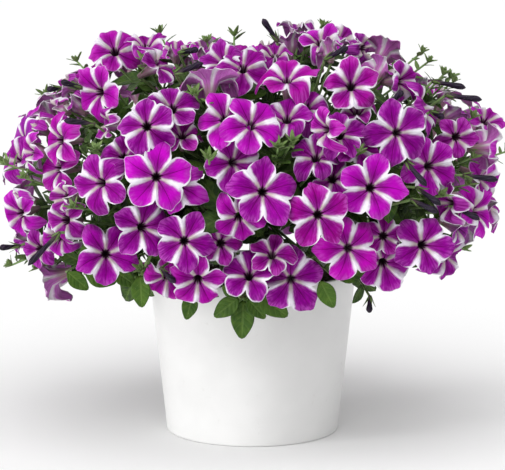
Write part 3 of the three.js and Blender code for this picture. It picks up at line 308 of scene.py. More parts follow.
def back_blooms(others):
    """Flowers for every place of the spiral that is behind the front and has room."""
    found = []
    for i, direction in enumerate(spread_directions(BACK_BLOOM_TRIES, BACK_BLOOM_LOWEST_WAY)):
        at = mound_point(direction, BACK_BLOOM_SHARE)
        if at[1] < FRONT_REACH or at[2] < LOWEST_BLOOM:
            continue
        if any(np.linalg.norm(b["at"] - at) < BACK_BLOOM_SPACING for b in others + found):
            continue
        draw = draws_from(BACK_BLOOM_SEED + i)
        normal = mound_normal(at)
        lean = np.array([draw() - 0.5, draw() - 0.5, draw() - 0.35])
        found.append({
            "at": at - normal * 6 * draw(),
            "axis": unit(normal + 0.8 * lean),
            "lift": normal,
            "hint": np.array([draw() - 0.5, draw() - 0.5, draw() - 0.5]),
            "radius": 24 + 4 * draw(),
            "seed": BACK_BLOOM_SEED + i,
            "front": False,
        })
    return found


blooms = front_blooms()
blooms += back_blooms(blooms)
for bloom in blooms:
    bloom["frame"] = basis(bloom["axis"], bloom["hint"])
    bloom["tall"] = min(BLOOM_TUBE, bloom["radius"] * TUBE_PER_RADIUS)
print("flowers", len(blooms))

# %% Part each face from those before it
FACE_SAMPLES = np.concatenate([ring_points(circle(15), share, share) for share in (0.55, 0.97)])


def face_height(radius, distance):
    """Height of a flower's face over its rim: a shallow cone."""
    return -FACE_DISH * (1 - np.minimum(1, distance / radius))


def crossing(a, b):
    """How much the face of a passes through the face of b: points of a on either side of b."""
    points = FACE_SAMPLES * a["radius"]
    points[:, 2] = face_height(a["radius"], points[:, 2])
    local = (points @ a["frame"].T + a["at"] - b["at"]) @ b["frame"]
    distance = np.hypot(local[:, 0], local[:, 1])
    height = (local[:, 2] - face_height(b["radius"], distance))[distance <= b["radius"]]
    return min((height > -FACE_GAP).sum(), (height < FACE_GAP).sum())


def settle(rows):
    """Move each flower in or out by the step that crosses least. Small steps come first."""
    for i, bloom in enumerate(rows):
        before = [
            b for b in rows[:i]
            if np.linalg.norm(b["at"] - bloom["at"])
            < b["radius"] + bloom["radius"] + max(SETTLE_STEPS)
        ]
        start, best = bloom["at"], None
        for move in SETTLE_STEPS:
            bloom["at"] = start + bloom["lift"] * move
            cost = sum(crossing(bloom, b) + crossing(b, bloom) for b in before)
            cost += SETTLE_STEP_COST * abs(move)
            if best is None or cost < best[0]:
                best = (cost, bloom["at"], move)
        _, bloom["at"], bloom["moved"] = best


settle(blooms)
print("flowers moved", sum(bloom["moved"] != 0 for bloom in blooms))

# %% [markdown]
# ## Stems, bunches and stalks
# Twelve stems stand in the soil. Each carries branches, each branch a bunch, and each flower of a
# bunch its own stalk. A stalk bows to the side where it has most room, as a growing one does.

# %% Stems and bunches
POT_HEIGHT = 150
STEM_DIRECTIONS = 12
INNER_STEMS = 3
INNER_STEM = {"elevation": 58, "foot_ring": 20, "hub_reach": 44}
OUTER_STEM = {"elevation": 8, "foot_ring": 54, "hub_reach": 72}
INNER_STEM_TURN = 0.5
BUNCH_DIRECTIONS = 44
BUNCH_LOWEST_WAY = -0.36
LOWEST_HUB = POT_HEIGHT + 14
CROWN_RADIUS = 15
SHORTEST_BRANCH = 14
BUD_FORWARD = 7
BUD_LEAN = 8
BUD_SEED = 3000


def stem_plans():
    """Three stems rise in the middle, and nine lean out all round them."""
    rows = []
    outer_stems = STEM_DIRECTIONS - INNER_STEMS
    for i in range(STEM_DIRECTIONS):
        inner = i < INNER_STEMS
        kind = INNER_STEM if inner else OUTER_STEM
        turn = i * 2 * math.pi / INNER_STEMS + INNER_STEM_TURN
        azimuth = turn if inner else (i - INNER_STEMS) * 2 * math.pi / outer_stems
        elevation = math.radians(kind["elevation"])
        flat = np.array([math.cos(azimuth), math.sin(azimuth), 0.0])
        direction = flat * math.cos(elevation) + np.array([0, 0, math.sin(elevation)])
        rows.append({
            "number": i + 1,
            "outwards": flat,
            "direction": direction,
            "foot": flat * kind["foot_ring"],
            "hub": HEART + direction * kind["hub_reach"],
        })
    return rows


def nearest_to(direction, plans):
    return max(plans, key=lambda plan: plan["direction"].dot(direction))


def furled_buds():
    rows = []
    for i, (calyx, tip) in enumerate(FURLED_BUDS):
        along = RIGHTWARDS * (tip[0] - calyx[0]) + UPWARDS * (calyx[1] - tip[1])
        along = along * MM_PER_PIXEL + TOWARDS * BUD_LEAN
        rows.append({
            "at": seen_at(*calyx, BUD_FORWARD) + along, "axis": unit(along), "hint": UPWARDS,
            "seed": BUD_SEED + i, "tall": np.linalg.norm(along), "bud": True,
        })
    return rows


def bunch_plans(rows, stems):
    """Flowers whose roots lie one way from the plant's heart share a bunch and its branch."""
    ways = spread_directions(BUNCH_DIRECTIONS, BUNCH_LOWEST_WAY)
    plans = [{"direction": way, "blooms": []} for way in ways]
    for bloom in rows:
        bloom["root"] = bloom["at"] - bloom["axis"] * bloom["tall"]
        nearest_to(unit(bloom["root"] - HEART), plans)["blooms"].append(bloom)
    used = [plan for plan in plans if plan["blooms"]]
    for i, plan in enumerate(used):
        roots = np.array([bloom["root"] for bloom in plan["blooms"]])
        middle = roots.mean(0) - HEART
        nearest = np.linalg.norm(roots - HEART, axis=1).min()
        plan["stem"] = nearest_to(unit(middle), stems)
        least = np.linalg.norm(plan["stem"]["hub"] - HEART) + CROWN_RADIUS + SHORTEST_BRANCH
        plan["hub"] = HEART + unit(middle) * max(0.6 * nearest, least)
        plan["hub"][2] = max(plan["hub"][2], LOWEST_HUB)
        plan["node"] = f"bloom_bunch_{i + 1:02d}"
    return used


stems = stem_plans()
buds = furled_buds()
bunches = bunch_plans(blooms + buds, stems)
largest = max(len(bunch["blooms"]) for bunch in bunches)
print("stems", len(stems), "bunches", len(bunches), "flowers in the largest", largest)

# %% Routes that keep their distance
SOIL_TOP = 138
STEM_DEPTH = 26
STEM_RADIUS = 2.6
BRANCH_RADIUS = 1.6
STALK_RADIUS = 1.3
TUBE_ROOM = 4
TUBE_TOP = 8
ENOUGH_ROOM = 3.0
ROUTE_SAMPLES = 7
BEND_COST = 0.02
PIERCE_COST = 4
PETAL_ROOM = 2
BENDS = (
    (0, 0), (0, 7), (7, 0), (-7, 0), (0, -7), (7, 7), (-7, 7), (0, 14), (14, 0), (-14, 0), (0, 22),
    (22, 0), (-22, 0), (16, 16), (-16, 16),
)


class Routes:
    """Every straight piece of stem or stalk so far, to measure how near a new one comes."""

    def __init__(self):
        self.starts, self.ends, self.radii, self.owners = [], [], [], []

    def add(self, owner, radius, points):
        for a, b in zip(points, points[1:]):
            self.starts.append(a)
            self.ends.append(b)
            self.radii.append(radius)
            self.owners.append(owner)

    def room(self, owner, radius, pieces):
        """The least room between these pieces and those of other owners."""
        others = np.array([o != owner for o in self.owners])
        a, b = np.array(self.starts)[others], np.array(self.ends)[others]
        span = b - a
        least = ENOUGH_ROOM
        for p, q in pieces:
            shares = np.arange(ROUTE_SAMPLES) / (ROUTE_SAMPLES - 1)
            samples = p + (q - p) * shares[:, None]
            offset = samples[:, None] - a[None]
            t = np.clip((offset * span).sum(-1) / (span * span).sum(-1), 0, 1)
            apart = np.linalg.norm(offset - t[..., None] * span, axis=-1).min(0)
            least = min(least, (apart - np.array(self.radii)[others] - radius).min())
        return least


def pierces(start, end, bloom):
    """Whether a straight piece goes through the face of a flower."""
    low = (start - bloom["at"]).dot(bloom["axis"])
    high = (end - bloom["at"]).dot(bloom["axis"])
    if low * high > 0:
        return False
    through = start + (end - start) * low / (low - high)
    return np.linalg.norm(through - bloom["at"]) < bloom["radius"] + PETAL_ROOM


def open_route(start, end, owner, radius, routes, faces):
    """A bowed route, bent the way that leaves most room and goes through fewest flowers."""
    along = end - start
    side = unit(np.array([-along[1], along[0], 0.001]))
    over = unit(np.cross(side, along))
    best = None
    for i, (sideways, upwards) in enumerate(BENDS):
        middle = (start + end) / 2 + side * sideways + over * upwards
        pieces = ((start, middle), (middle, end))
        through = sum(any(pierces(p, q, bloom) for p, q in pieces) for bloom in faces)
        score = routes.room(owner, radius, pieces) - BEND_COST * i - PIERCE_COST * through
        if best is None or score > best[0]:
            best = (score, [start, middle, end])
    routes.add(owner, radius, best[1])
    return best[1]


routes = Routes()
for stem in stems:
    foot = stem["foot"]
    stem["points"] = [
        foot + [0, 0, SOIL_TOP - STEM_DEPTH],
        foot + [0, 0, SOIL_TOP + 8],
        foot + stem["outwards"] * 3 + [0, 0, SOIL_TOP + 32],
        stem["hub"],
    ]
    routes.add(stem["number"], STEM_RADIUS, stem["points"])
for bunch in bunches:
    routes.add(bunch["stem"]["number"], BRANCH_RADIUS, [bunch["stem"]["hub"], bunch["hub"]])
    for bloom in bunch["blooms"]:
        tube = [bloom["root"], bloom["at"] - bloom["axis"] * TUBE_TOP]
        routes.add(bunch["node"], TUBE_ROOM, tube)
for bunch in bunches:
    for bloom in bunch["blooms"]:
        others = [other for other in blooms if other is not bloom]
        bloom["route"] = open_route(
            bunch["hub"], bloom["root"], bunch["node"], STALK_RADIUS, routes, others
        )
print("stalks", sum(len(bunch["blooms"]) for bunch in bunches))

# %% Leafy shoots
SHOOT_TIP_FORWARD = 5
EDGE_LEAF_FORWARD = -4
BACK_SHOOT_SPACING = 80
BACK_SHOOT_TRIES = 300
BACK_SHOOT_REACH = 30
LOWEST_SHOOT = 140
INNER_SHOOTS = 22
INNER_SHOOT_SHARE = 0.8
SHOOT_SEEDS = {"front": 100, "back": 300, "inner": 700, "edge": 900}


def shoot_plans():
    """Shoots that end at the front, at the back, inside the plant and at its lower edge."""
    plans = []

    def add(end, pointing, kind, seed, **facts):
        facts.update(end=end, pointing=pointing, kind=kind, seed=seed)
        plans.append({"stem": nearest_to(unit(end - HEART), stems), **facts})

    for i, (px, py) in enumerate(SHOOT_TIPS):
        end = seen_at(px, py, SHOOT_TIP_FORWARD)
        add(end, unit(mound_normal(end) + UPWARDS), "tip", SHOOT_SEEDS["front"] + i)
    taken = [plan["end"] for plan in plans]
    for i, direction in enumerate(spread_directions(BACK_SHOOT_TRIES, -0.7)):
        end = mound_point(direction, 1.0)
        if end[1] < BACK_SHOOT_REACH or end[2] < LOWEST_SHOOT:
            continue
        if any(np.linalg.norm(p - end) < BACK_SHOOT_SPACING for p in taken):
            continue
        taken.append(end)
        add(end, unit(mound_normal(end) + [0, 0, 0.5]), "tip", SHOOT_SEEDS["back"] + i)
    for i, direction in enumerate(spread_directions(INNER_SHOOTS, -0.5)):
        end = mound_point(direction, INNER_SHOOT_SHARE)
        if end[2] >= LOWEST_HUB:
            add(end, direction, "inner", SHOOT_SEEDS["inner"] + i)
    for i, (px, py, length, way) in enumerate(EDGE_LEAVES):
        end = seen_at(px, py, EDGE_LEAF_FORWARD)
        add(end, picture_direction(way), "edge", SHOOT_SEEDS["edge"] + i, length=length)
    return plans


shoots = shoot_plans()
for shoot in shoots:
    stem = shoot["stem"]
    shoot["points"] = open_route(
        stem["hub"], shoot["end"], stem["number"], STALK_RADIUS, routes, blooms
    )
print("shoots", len(shoots))

# %% [markdown]
# ## Writing meshes
# A flower, a stalk and a leaf are all made the same way: rings or rows of points, joined by
# four-sided faces, closed at both ends. The points are worked out with arrays, because many
# thousands of them are needed, and every piece is written to Blender in one step.

# %% Patches of points and faces
MAP_SIZE = 100.0


class Patch:
    """Points and faces that are gathered into one mesh, with what its materials read."""

    def __init__(self):
        self.points, self.faces, self.looks = [], [], []
        self.spots, self.reads = [], []
        self.count = 0

    def add(self, points, faces, look, spots=None, reads=None):
        """spots are the places on the material's own map, and reads are two values per point."""
        points = np.asarray(points, float)
        size = len(points)
        self.points.append(points)
        self.faces.extend([tuple(int(i) + self.count for i in face) for face in faces])
        self.looks.extend([look] * len(faces) if isinstance(look, int) else look)
        self.spots.append(np.zeros((size, 2)) if spots is None else spots)
        self.reads.append(np.zeros((size, 2)) if reads is None else reads)
        self.count += size


def tube_faces(rings, around):
    """Faces of a closed shape: rings of points between a first and a last single point."""
    k = np.arange(around)
    n = (k + 1) % around
    faces = [(0, 1 + a, 1 + b) for a, b in zip(k, n)]
    for ring in range(rings - 1):
        low, high = 1 + ring * around, 1 + (ring + 1) * around
        faces += [(low + a, high + a, high + b, low + b) for a, b in zip(k, n)]
    last = 1 + (rings - 1) * around
    end = 1 + rings * around
    return faces + [(last + a, end, last + b) for a, b in zip(k, n)]


def rod_faces(rings, around):
    """The same for rings that go on along their axis, where the faces have to turn over."""
    return [face[::-1] for face in tube_faces(rings, around)]


def write_piece(name, patch, materials, titles=("rim", "shade")):
    """One object at the origin, in metres, with the map 'pattern' and two values per point."""
    mesh = bpy.data.meshes.new(name)
    points = np.concatenate(patch.points) * MM
    mesh.from_pydata(points.tolist(), [], patch.faces)
    for material in materials:
        mesh.materials.append(material)
    mesh.polygons.foreach_set("material_index", np.array(patch.looks, np.int32))
    mesh.polygons.foreach_set("use_smooth", np.ones(len(patch.faces), bool))
    corners = np.empty(len(mesh.loops), np.int32)
    mesh.loops.foreach_get("vertex_index", corners)
    spots = np.concatenate(patch.spots)[corners]
    mesh.uv_layers.new(name="pattern").data.foreach_set("uv", spots.astype(np.float32).ravel())
    reads = np.concatenate(patch.reads)
    for i, title in enumerate(titles):
        values = mesh.attributes.new(title, "FLOAT", "POINT")
        values.data.foreach_set("value", reads[:, i].astype(np.float32))
    mesh.validate()
    mesh.update()
    return put_in_scene(name, mesh)


def put_in_scene(name, data):
    thing = bpy.data.objects.new(name, data)
    bpy.context.scene.collection.objects.link(thing)
    return thing


def curve_through(points, steps):
    """Points along a smooth curve through the given ones."""
    points = np.array(points, float)
    ends = np.vstack([2 * points[0] - points[1], points, 2 * points[-1] - points[-2]])
    found = []
    for p0, p1, p2, p3 in zip(ends, ends[1:], ends[2:], ends[3:]):
        for t in np.arange(steps) / steps:
            found.append(0.5 * (
                2 * p1 + (p2 - p0) * t + (2 * p0 - 5 * p1 + 4 * p2 - p3) * t**2
                + (3 * p1 - p0 - 3 * p2 + p3) * t**3
            ))
    return np.array(found + [points[-1]])


def add_rod(patch, path, radii, around, look, youth_and_inner_shade):
    """A round stem along a path, closed at both ends."""
    ways = np.gradient(path, axis=0)
    side = basis(ways[0], np.array([0.3, 0.5, 0.8]))[:, 0]
    turns = circle(around)
    points, spots = [path[0]], [[0.5, 0]]
    lengths = np.concatenate([[0], np.cumsum(np.linalg.norm(np.diff(path, axis=0), axis=1))])
    for at, way, radius, length in zip(path, ways, radii, lengths):
        own = basis(way, side)
        side = own[:, 0]
        ring = np.outer(np.cos(turns), own[:, 0]) + np.outer(np.sin(turns), own[:, 1])
        points.extend(at + radius * ring)
        spots.extend([[turn / (2 * math.pi), length / MAP_SIZE] for turn in turns])
    points.append(path[-1])
    spots.append([0.5, lengths[-1] / MAP_SIZE])
    reads = np.tile([youth_and_inner_shade, 0.5], (len(points), 1))
    patch.add(points, rod_faces(len(path), around), look, np.array(spots), reads)


print("mesh tools ready")

# %% [markdown]
# ## The funnel of one flower
# A petunia's petals are grown together into one trumpet: a thin skin that runs from the tube, out
# over five rounded lobes to a waved edge, and back down under them. It is one closed skin here
# too, made of rings. Where two lobes meet there is a shallow notch, and a vein runs out to the
# tip of each lobe. Each flower has its own waves, and the reach and the curl of each lobe start
# from those of the solid.

# %% Shape of a flower
LOBES = 5
THROAT_RADIUS = 4.6
THROAT_HEIGHT = -5.0
TUBE_FOOT_RADIUS = 2.3
PETAL_THICKNESS = 0.45
FAR_FROM_RIM = 30.0
LARGE_BLOOM = 22
FACE_LOOK, UNDER_LOOK = 0, 1
LOBE_STREAM, FLOWER_STREAM, SHADE_STREAM = 5000, 6000, 7000
# The skin's rings in order: the inside of the tube as shares of its depth with their radii, the
# face and then the underside as shares of the way to the rim, and the tube again, down outside.
INNER_TUBE = ((0.62, 1.5), (0.48, 2.1), (0.34, 2.9), (0.24, 3.9))
FACE_RINGS = (0, 0.06, 0.14, 0.25, 0.38, 0.52, 0.66, 0.78, 0.87, 0.94, 0.98, 1)
UNDER_RINGS = (1, 0.96, 0.88, 0.74, 0.55, 0.36, 0.2)
OUTER_TUBE = ((0.0, 6.6), (0.18, 5.4), (0.42, 4.3), (0.7, 3.2), (1.0, TUBE_FOOT_RADIUS))


def lobe_facts(seed):
    """Reach, curl and waves of the five lobes. The first draws are those of the solid."""
    draw = draws_from(seed + LOBE_STREAM)
    lobes = [(0.93 + 0.08 * draw(), 3 * draw() - 2) for _ in range(LOBES)]
    return [
        {
            "reach": reach * (0.96 + 0.1 * draw()), "curl": curl, "wave": 0.7 + 1.9 * draw(),
            "phase": 6.28 * draw(), "beats": 1.2 + 1.2 * draw(), "tip": 0.01 + 0.09 * draw(),
            "round": 0.5 + 0.4 * draw(), "cup": 4.6 * draw() - 1.6, "lean": 12 * draw() - 7.5,
            "twist": 12 * draw() - 6, "back": 14 * draw() ** 2, "frill": 1.1 * draw(),
            "frill_phase": 6.28 * draw(), "notch": 0.6 + 0.2 * draw(),
            "skew": 0.4 * draw() - 0.2,
        }
        for reach, curl in lobes
    ]


def add_corolla(patch, bloom, around):
    """One flower, with so many points to a ring. Every array holds a value for each of them."""
    lobes = lobe_facts(bloom["seed"])
    radius, tall = bloom["radius"], bloom["tall"]
    angle = circle(around)
    lobe = np.minimum((angle / (2 * math.pi) * LOBES).astype(int), LOBES - 1)
    share = angle / (2 * math.pi) * LOBES - lobe
    fact = {key: np.array([row[key] for row in lobes])[lobe] for key in lobes[0]}
    whole = draws_from(bloom["seed"] + FLOWER_STREAM)
    lift, bend = 5 * whole() - 2.5, 2 * math.pi * whole()

    # how far out the rim is: low at the seams, full over each lobe, with a small point
    seam = np.array([row["notch"] for row in lobes])[(lobe + (share > 0.5)) % LOBES]
    open_lobe = np.sin(math.pi * share)
    hump = open_lobe ** fact["round"]
    point = np.exp(-(((share - 0.5) / 0.09) ** 2)) * fact["tip"]
    ragged = 0.011 * np.sin(13 * angle + 9 * bend) + 0.008 * np.sin(19 * angle + 5 * lift)
    reach = radius * (seam + (fact["reach"] - seam) * hump + point + ragged)

    # how high the rim is, and the waves that grow towards it
    rim_height = 0.5 + (fact["curl"] + fact["lean"] - 0.5) * open_lobe**0.8
    rim_height = rim_height + lift * (0.4 + 0.6 * open_lobe) + 1.6 * np.cos(2 * (angle - bend))
    wave = fact["wave"] * np.sin(2 * math.pi * fact["beats"] * (share - 0.5) + fact["phase"])
    wave = (wave + fact["twist"] * (share - 0.5)) * open_lobe**0.6
    frill = fact["frill"] * np.sin(22 * share + fact["frill_phase"]) * open_lobe**0.5
    crease = np.exp(-((np.minimum(share, 1 - share) / 0.08) ** 2))
    rib = np.exp(-(((share - 0.5) / 0.04) ** 2))

    def face_ring(out):
        """Distance from the axis and height of the face, at a share of the way to the rim."""
        distance = THROAT_RADIUS + (reach - THROAT_RADIUS) * out
        height = THROAT_HEIGHT + (rim_height - THROAT_HEIGHT) * (1 - (1 - out) ** 2.1)
        cup = fact["cup"] * out**2 * (1 - out) * 4 * open_lobe
        height = height + wave * out**2.5 + frill * out**8 + cup
        height = height - fact["back"] * max(0, out - 0.7) ** 1.5 / 0.16 * open_lobe
        return distance, height + (1.3 * crease - rib) * out * (1.25 - out) * 3

    rings = [(wide, -depth * tall, False) for depth, wide in INNER_TUBE]
    rings += [(*face_ring(out), True) for out in FACE_RINGS]
    face_end = len(rings)
    distance, height, _ = rings[-1]
    rings.append((distance + 0.12, height - 0.5 * PETAL_THICKNESS, True))
    for out in UNDER_RINGS:
        distance, height = face_ring(out)
        rings.append((distance, height - PETAL_THICKNESS * (1 + 1.2 * (1 - out)), True))
    rings += [(wide, -8.6 - down * (tall - 8.6), False) for down, wide in OUTER_TUBE]

    local, plan, from_rim = [[[0, 0, -0.68 * tall]]], [[[0, 0]]], [[1.0]]
    for distance, height, on_petal in rings:
        turn = angle + fact["skew"] * open_lobe * np.clip(distance / radius, 0, 1) ** 2
        local.append(ring_points(turn, distance, height))
        plan.append(ring_points(angle, distance, 0)[:, :2])
        from_rim.append(reach - distance if on_petal else np.full(around, FAR_FROM_RIM))
    points = np.concatenate([*local, [[0, 0, -tall - 0.3]]]) @ bloom["frame"].T + bloom["at"]
    spots = 0.5 + np.concatenate([*plan, [[0, 0]]]) / MAP_SIZE
    from_rim = np.concatenate([*from_rim, [FAR_FROM_RIM]])
    reads = np.stack([from_rim, np.full(len(from_rim), bloom["shade"])], 1)
    faces = tube_faces(len(rings), around)
    on_face = around * face_end
    look = [FACE_LOOK] * on_face + [UNDER_LOOK] * (len(faces) - on_face)
    patch.add(points, faces, look, spots, reads)


for bloom in blooms:
    bloom["large"] = bloom["front"] and bloom["radius"] > LARGE_BLOOM
    tone = draws_from(bloom["seed"] + SHADE_STREAM)
    bloom["shade"] = tone() * (0.85 if bloom["large"] else 1)
print("rings of a flower", len(INNER_TUBE + FACE_RINGS + UNDER_RINGS + OUTER_TUBE) + 1)

# %% [markdown]
# ## Small helpers for node trees
# A material is a recipe of nodes. These helpers keep each recipe short. A Value is the output of
# a node, and sums with it are written as sums: each one adds a maths node to the same tree. A
# step turns a range of values into a soft change from 0 to 1, and a blend mixes two colours.

# %% Values, sums and soft steps
def colour(red, green, blue):
    """A colour as it is seen on a screen, 0 to 255, turned to the linear values of Blender."""
    def linear(value):
        value /= 255
        return value / 12.92 if value <= 0.04045 else ((value + 0.055) / 1.055) ** 2.4
    return (linear(red), linear(green), linear(blue), 1.0)


class Value:
    """The output of a node."""

    def __init__(self, socket):
        self.socket = socket

    def __add__(self, other):
        return maths("ADD", self, other)

    def __sub__(self, other):
        return maths("SUBTRACT", self, other)

    def __rsub__(self, other):
        return maths("SUBTRACT", other, self)

    def __mul__(self, other):
        return maths("MULTIPLY", self, other)

    def __truediv__(self, other):
        return maths("DIVIDE", self, other)

    def __rtruediv__(self, other):
        return maths("DIVIDE", other, self)

    def __pow__(self, other):
        return maths("POWER", self, other)

    def __abs__(self):
        return maths("ABSOLUTE", self)

    __radd__, __rmul__ = __add__, __mul__


class Outputs:
    """The outputs of a node, each of them as a Value."""

    def __init__(self, sockets):
        self.sockets = sockets

    def __getitem__(self, key):
        return Value(self.sockets[key])


def feed(socket, value):
    """Link a socket to a Value, or set it to a constant."""
    if isinstance(value, Value):
        socket.id_data.links.new(value.socket, socket)
    else:
        socket.default_value = value


def node(tree, kind, inputs=None, **settings):
    made = tree.nodes.new(kind)
    for key, value in settings.items():
        setattr(made, key, value)
    for key, value in (inputs or {}).items():
        feed(made.inputs[key], value)
    return Outputs(made.outputs)


def tree_of(*values):
    return next(value.socket.id_data for value in values if isinstance(value, Value))


def maths(operation, *values):
    inputs = dict(enumerate(values))
    return node(tree_of(*values), "ShaderNodeMath", inputs, operation=operation)[0]


def vector_maths(operation, vector, other):
    inputs = {0: vector, 3 if operation == "SCALE" else 1: other}
    return node(tree_of(vector), "ShaderNodeVectorMath", inputs, operation=operation)[0]


def parts_of(vector):
    return node(tree_of(vector), "ShaderNodeSeparateXYZ", {0: vector})


def step(value, low, high, start=0.0, end=1.0):
    """A soft step of the value: start below low, end above high."""
    inputs = {0: value, 1: low, 2: high, 3: start, 4: end}
    settings = {"interpolation_type": "SMOOTHSTEP"}
    return node(tree_of(value), "ShaderNodeMapRange", inputs, **settings)[0]


def blend(share, first, second):
    settings = {"data_type": "RGBA", "blend_type": "MIX"}
    return node(tree_of(share), "ShaderNodeMix", {0: share, 6: first, 7: second}, **settings)[2]


def over(tint, share, *screen_colour):
    """The tint with a colour laid over it, as strongly as the share says."""
    return blend(share, tint, colour(*screen_colour))


def noise(vector, scale, detail=2.0, roughness=0.5):
    inputs = {"Vector": vector, "Scale": scale, "Detail": detail, "Roughness": roughness}
    return node(tree_of(vector), "ShaderNodeTexNoise", inputs)["Fac"]


def new_group(name, inputs, outputs):
    """A shader group that puts out floats. Its inputs are (title, kind, default)."""
    group = bpy.data.node_groups.new(name, "ShaderNodeTree")
    for title, kind, default in inputs:
        socket = group.interface.new_socket(title, in_out="INPUT", socket_type=kind)
        if default is not None:
            socket.default_value = default
    for title in outputs:
        group.interface.new_socket(title, in_out="OUTPUT", socket_type="NodeSocketFloat")
    result = group.nodes.new("NodeGroupOutput").inputs
    return group, node(group, "NodeGroupInput"), result


def fill(result, values):
    for title, value in values.items():
        feed(result[title], value)


def grouped(tree, group, inputs):
    return node(tree, "ShaderNodeGroup", inputs, node_tree=group)


def attribute(tree, title):
    return node(tree, "ShaderNodeAttribute", attribute_name=title)["Fac"]


def pattern_map(tree):
    return node(tree, "ShaderNodeUVMap", uv_map="pattern")[0]


def new_material(name, screen_colour):
    """A material with a Principled shader, and the plain colour that the viewport shows."""
    material = bpy.data.materials.new(name)
    material.use_nodes = True
    material.diffuse_color = colour(*screen_colour)
    return material, material.node_tree, material.node_tree.nodes["Principled BSDF"].inputs


def finish_with(shader, tint, roughness, relief=None, constants=None):
    """Colour, roughness, relief as (height, strength, distance), and what is the same all over."""
    feed(shader["Base Color"], tint)
    feed(shader["Roughness"], roughness)
    fill(shader, constants or {})
    if relief:
        inputs = dict(zip(("Height", "Strength", "Distance"), relief))
        feed(shader["Normal"], node(tree_of(tint), "ShaderNodeBump", inputs)[0])


print("red 170 is", round(colour(170, 0, 0)[0], 3), "in linear values")

# %% [markdown]
# ## The star of the petunia
# Each flower is purple with five white bars, one along each seam between two lobes, and a thin
# white edge. The pattern is painted by rule: the map of a flower is its own flat plan in
# millimetres, so the angle round the throat says how near a seam is, and the distance from the
# rim says where the edge is. The colour is flushed with pink beside the white, in streaks. The
# top and the underside of a petal share all this, as one node group.

# %% Star pattern group
HALF_LOBE = math.pi / LOBES
star, given, result = new_group(
    "petunia_star",
    [("Map", "NodeSocketVector", None), ("Rim", "NodeSocketFloat", FAR_FROM_RIM),
     ("Shade", "NodeSocketFloat", 0.5)],
    ["White", "Flush", "Midrib", "Throat", "Veins", "Streaks", "Radius"],
)
rim, shade = given["Rim"], given["Shade"]
plan = vector_maths("SCALE", vector_maths("SUBTRACT", given["Map"], (0.5, 0.5, 0)), MAP_SIZE)
flat = parts_of(plan)
radius = node(star, "ShaderNodeVectorMath", {0: plan}, operation="LENGTH")["Value"]
turn = maths("ARCTAN2", flat[1], flat[0])
from_seam = abs(maths("WRAP", turn, HALF_LOBE, -HALF_LOBE))
seam_distance = radius * maths("SINE", from_seam)
rib_distance = radius * maths("SINE", HALF_LOBE - from_seam)
print("nodes for places", len(star.nodes))

# %% Bars, edge and flush
apart = shade * 400.0
place = node(star, "ShaderNodeCombineXYZ", {0: flat[0], 1: flat[1], 2: apart})[0]
broad_wander = noise(place, 0.11, 1.0) - 0.5
fine_wander = noise(place, 0.55, 2.0) - 0.5
half_width = 0.5 + radius * 0.115 + broad_wander * radius * 0.16 + fine_wander * 0.9
beside_bar = seam_distance - half_width
bar = step(beside_bar, -1.2, 1.0, 1.0, 0.0)
margin = step(maths("FRACT", shade * 13.7), 0.3, 1.0, -0.95, 0.1)
edge_width = margin + step(from_seam, 0.06, 0.38, 2.4, 0.0)
edge_width += broad_wander * 2.4 + fine_wander * 0.8
edge = step(rim - edge_width, -0.6, 0.9, 1.0, 0.0)
spoke = node(star, "ShaderNodeCombineXYZ", {0: turn * 9.0, 1: radius * 0.09, 2: apart})[0]
streaks = noise(spoke, 1.6, 3.0, 0.6)
flush = maths("MAXIMUM", step(beside_bar, 0.0, 4.5, 0.8, 0.0), step(rim, 0.5, 8.0, 1.0, 0.0))
flush *= step(streaks, 0.36, 0.64, 0.1, 1.0)
print("nodes with the white", len(star.nodes))

# %% Throat and veins
midrib = step(rib_distance, 0.12, 0.5, 1.0, 0.0) * step(rim, 0.5, 15, 0.5, 1.0)
rays = maths(
    "MAXIMUM", step(rib_distance, 0.1, 1.1, 3.0, 0.0), step(seam_distance, 0.1, 0.7, 1.2, 0.0)
)
throat = step(radius - rays + broad_wander * 1.6, 2.2, 4.3, 1.0, 0.0)
throat *= step(maths("FRACT", shade * 7.3), 0.0, 0.35, 0.55, 1.0)
slanted = rib_distance + radius * -0.72 + fine_wander * 1.4
veins = step(abs(maths("FRACT", slanted * 0.36) - 0.5), 0.02, 0.14, 1.0, 0.0)
fill(result, {
    "White": maths("MAXIMUM", bar, edge), "Flush": flush, "Midrib": midrib, "Throat": throat,
    "Veins": veins, "Streaks": streaks, "Radius": radius,
})
print("star pattern nodes", len(star.nodes))

# %% [markdown]
# ## Petal finishes
# The top of a petal is velvety. Its colour darkens towards the throat, partly its own deeper colour
# and partly painted shade of the funnel, and is brightest half way out. It differs a little from
# flower to flower, because older ones turn violet. The underside is paler, with brown-green veins
# near the tube. Each is a Principled shader with a soft sheen and low folds that run out from the
# throat. The grey streaks on the white bars are partly grey veining and partly painted shade of
# the grooves that the bars lie in.

# %% Petal face
def petal_marks(tree):
    shade = attribute(tree, "shade")
    inputs = {"Map": pattern_map(tree), "Rim": attribute(tree, "rim"), "Shade": shade}
    return grouped(tree, star, inputs), shade


petal_face, tree, shader = new_material("petal_face", (176, 24, 172))
marks, shade = petal_marks(tree)
deep = blend(step(shade, 0.8, 1.0), colour(112, 0, 108), colour(100, 24, 122))
bright = blend(step(shade, 0.0, 0.75), colour(182, 4, 180), colour(118, 0, 120))
bright = over(bright, step(maths("FRACT", shade * 5.1), 0.45, 1.0, 0.0, 0.5), 164, 6, 128)
bright = over(bright, step(shade, 0.88, 1.0), 140, 44, 164)
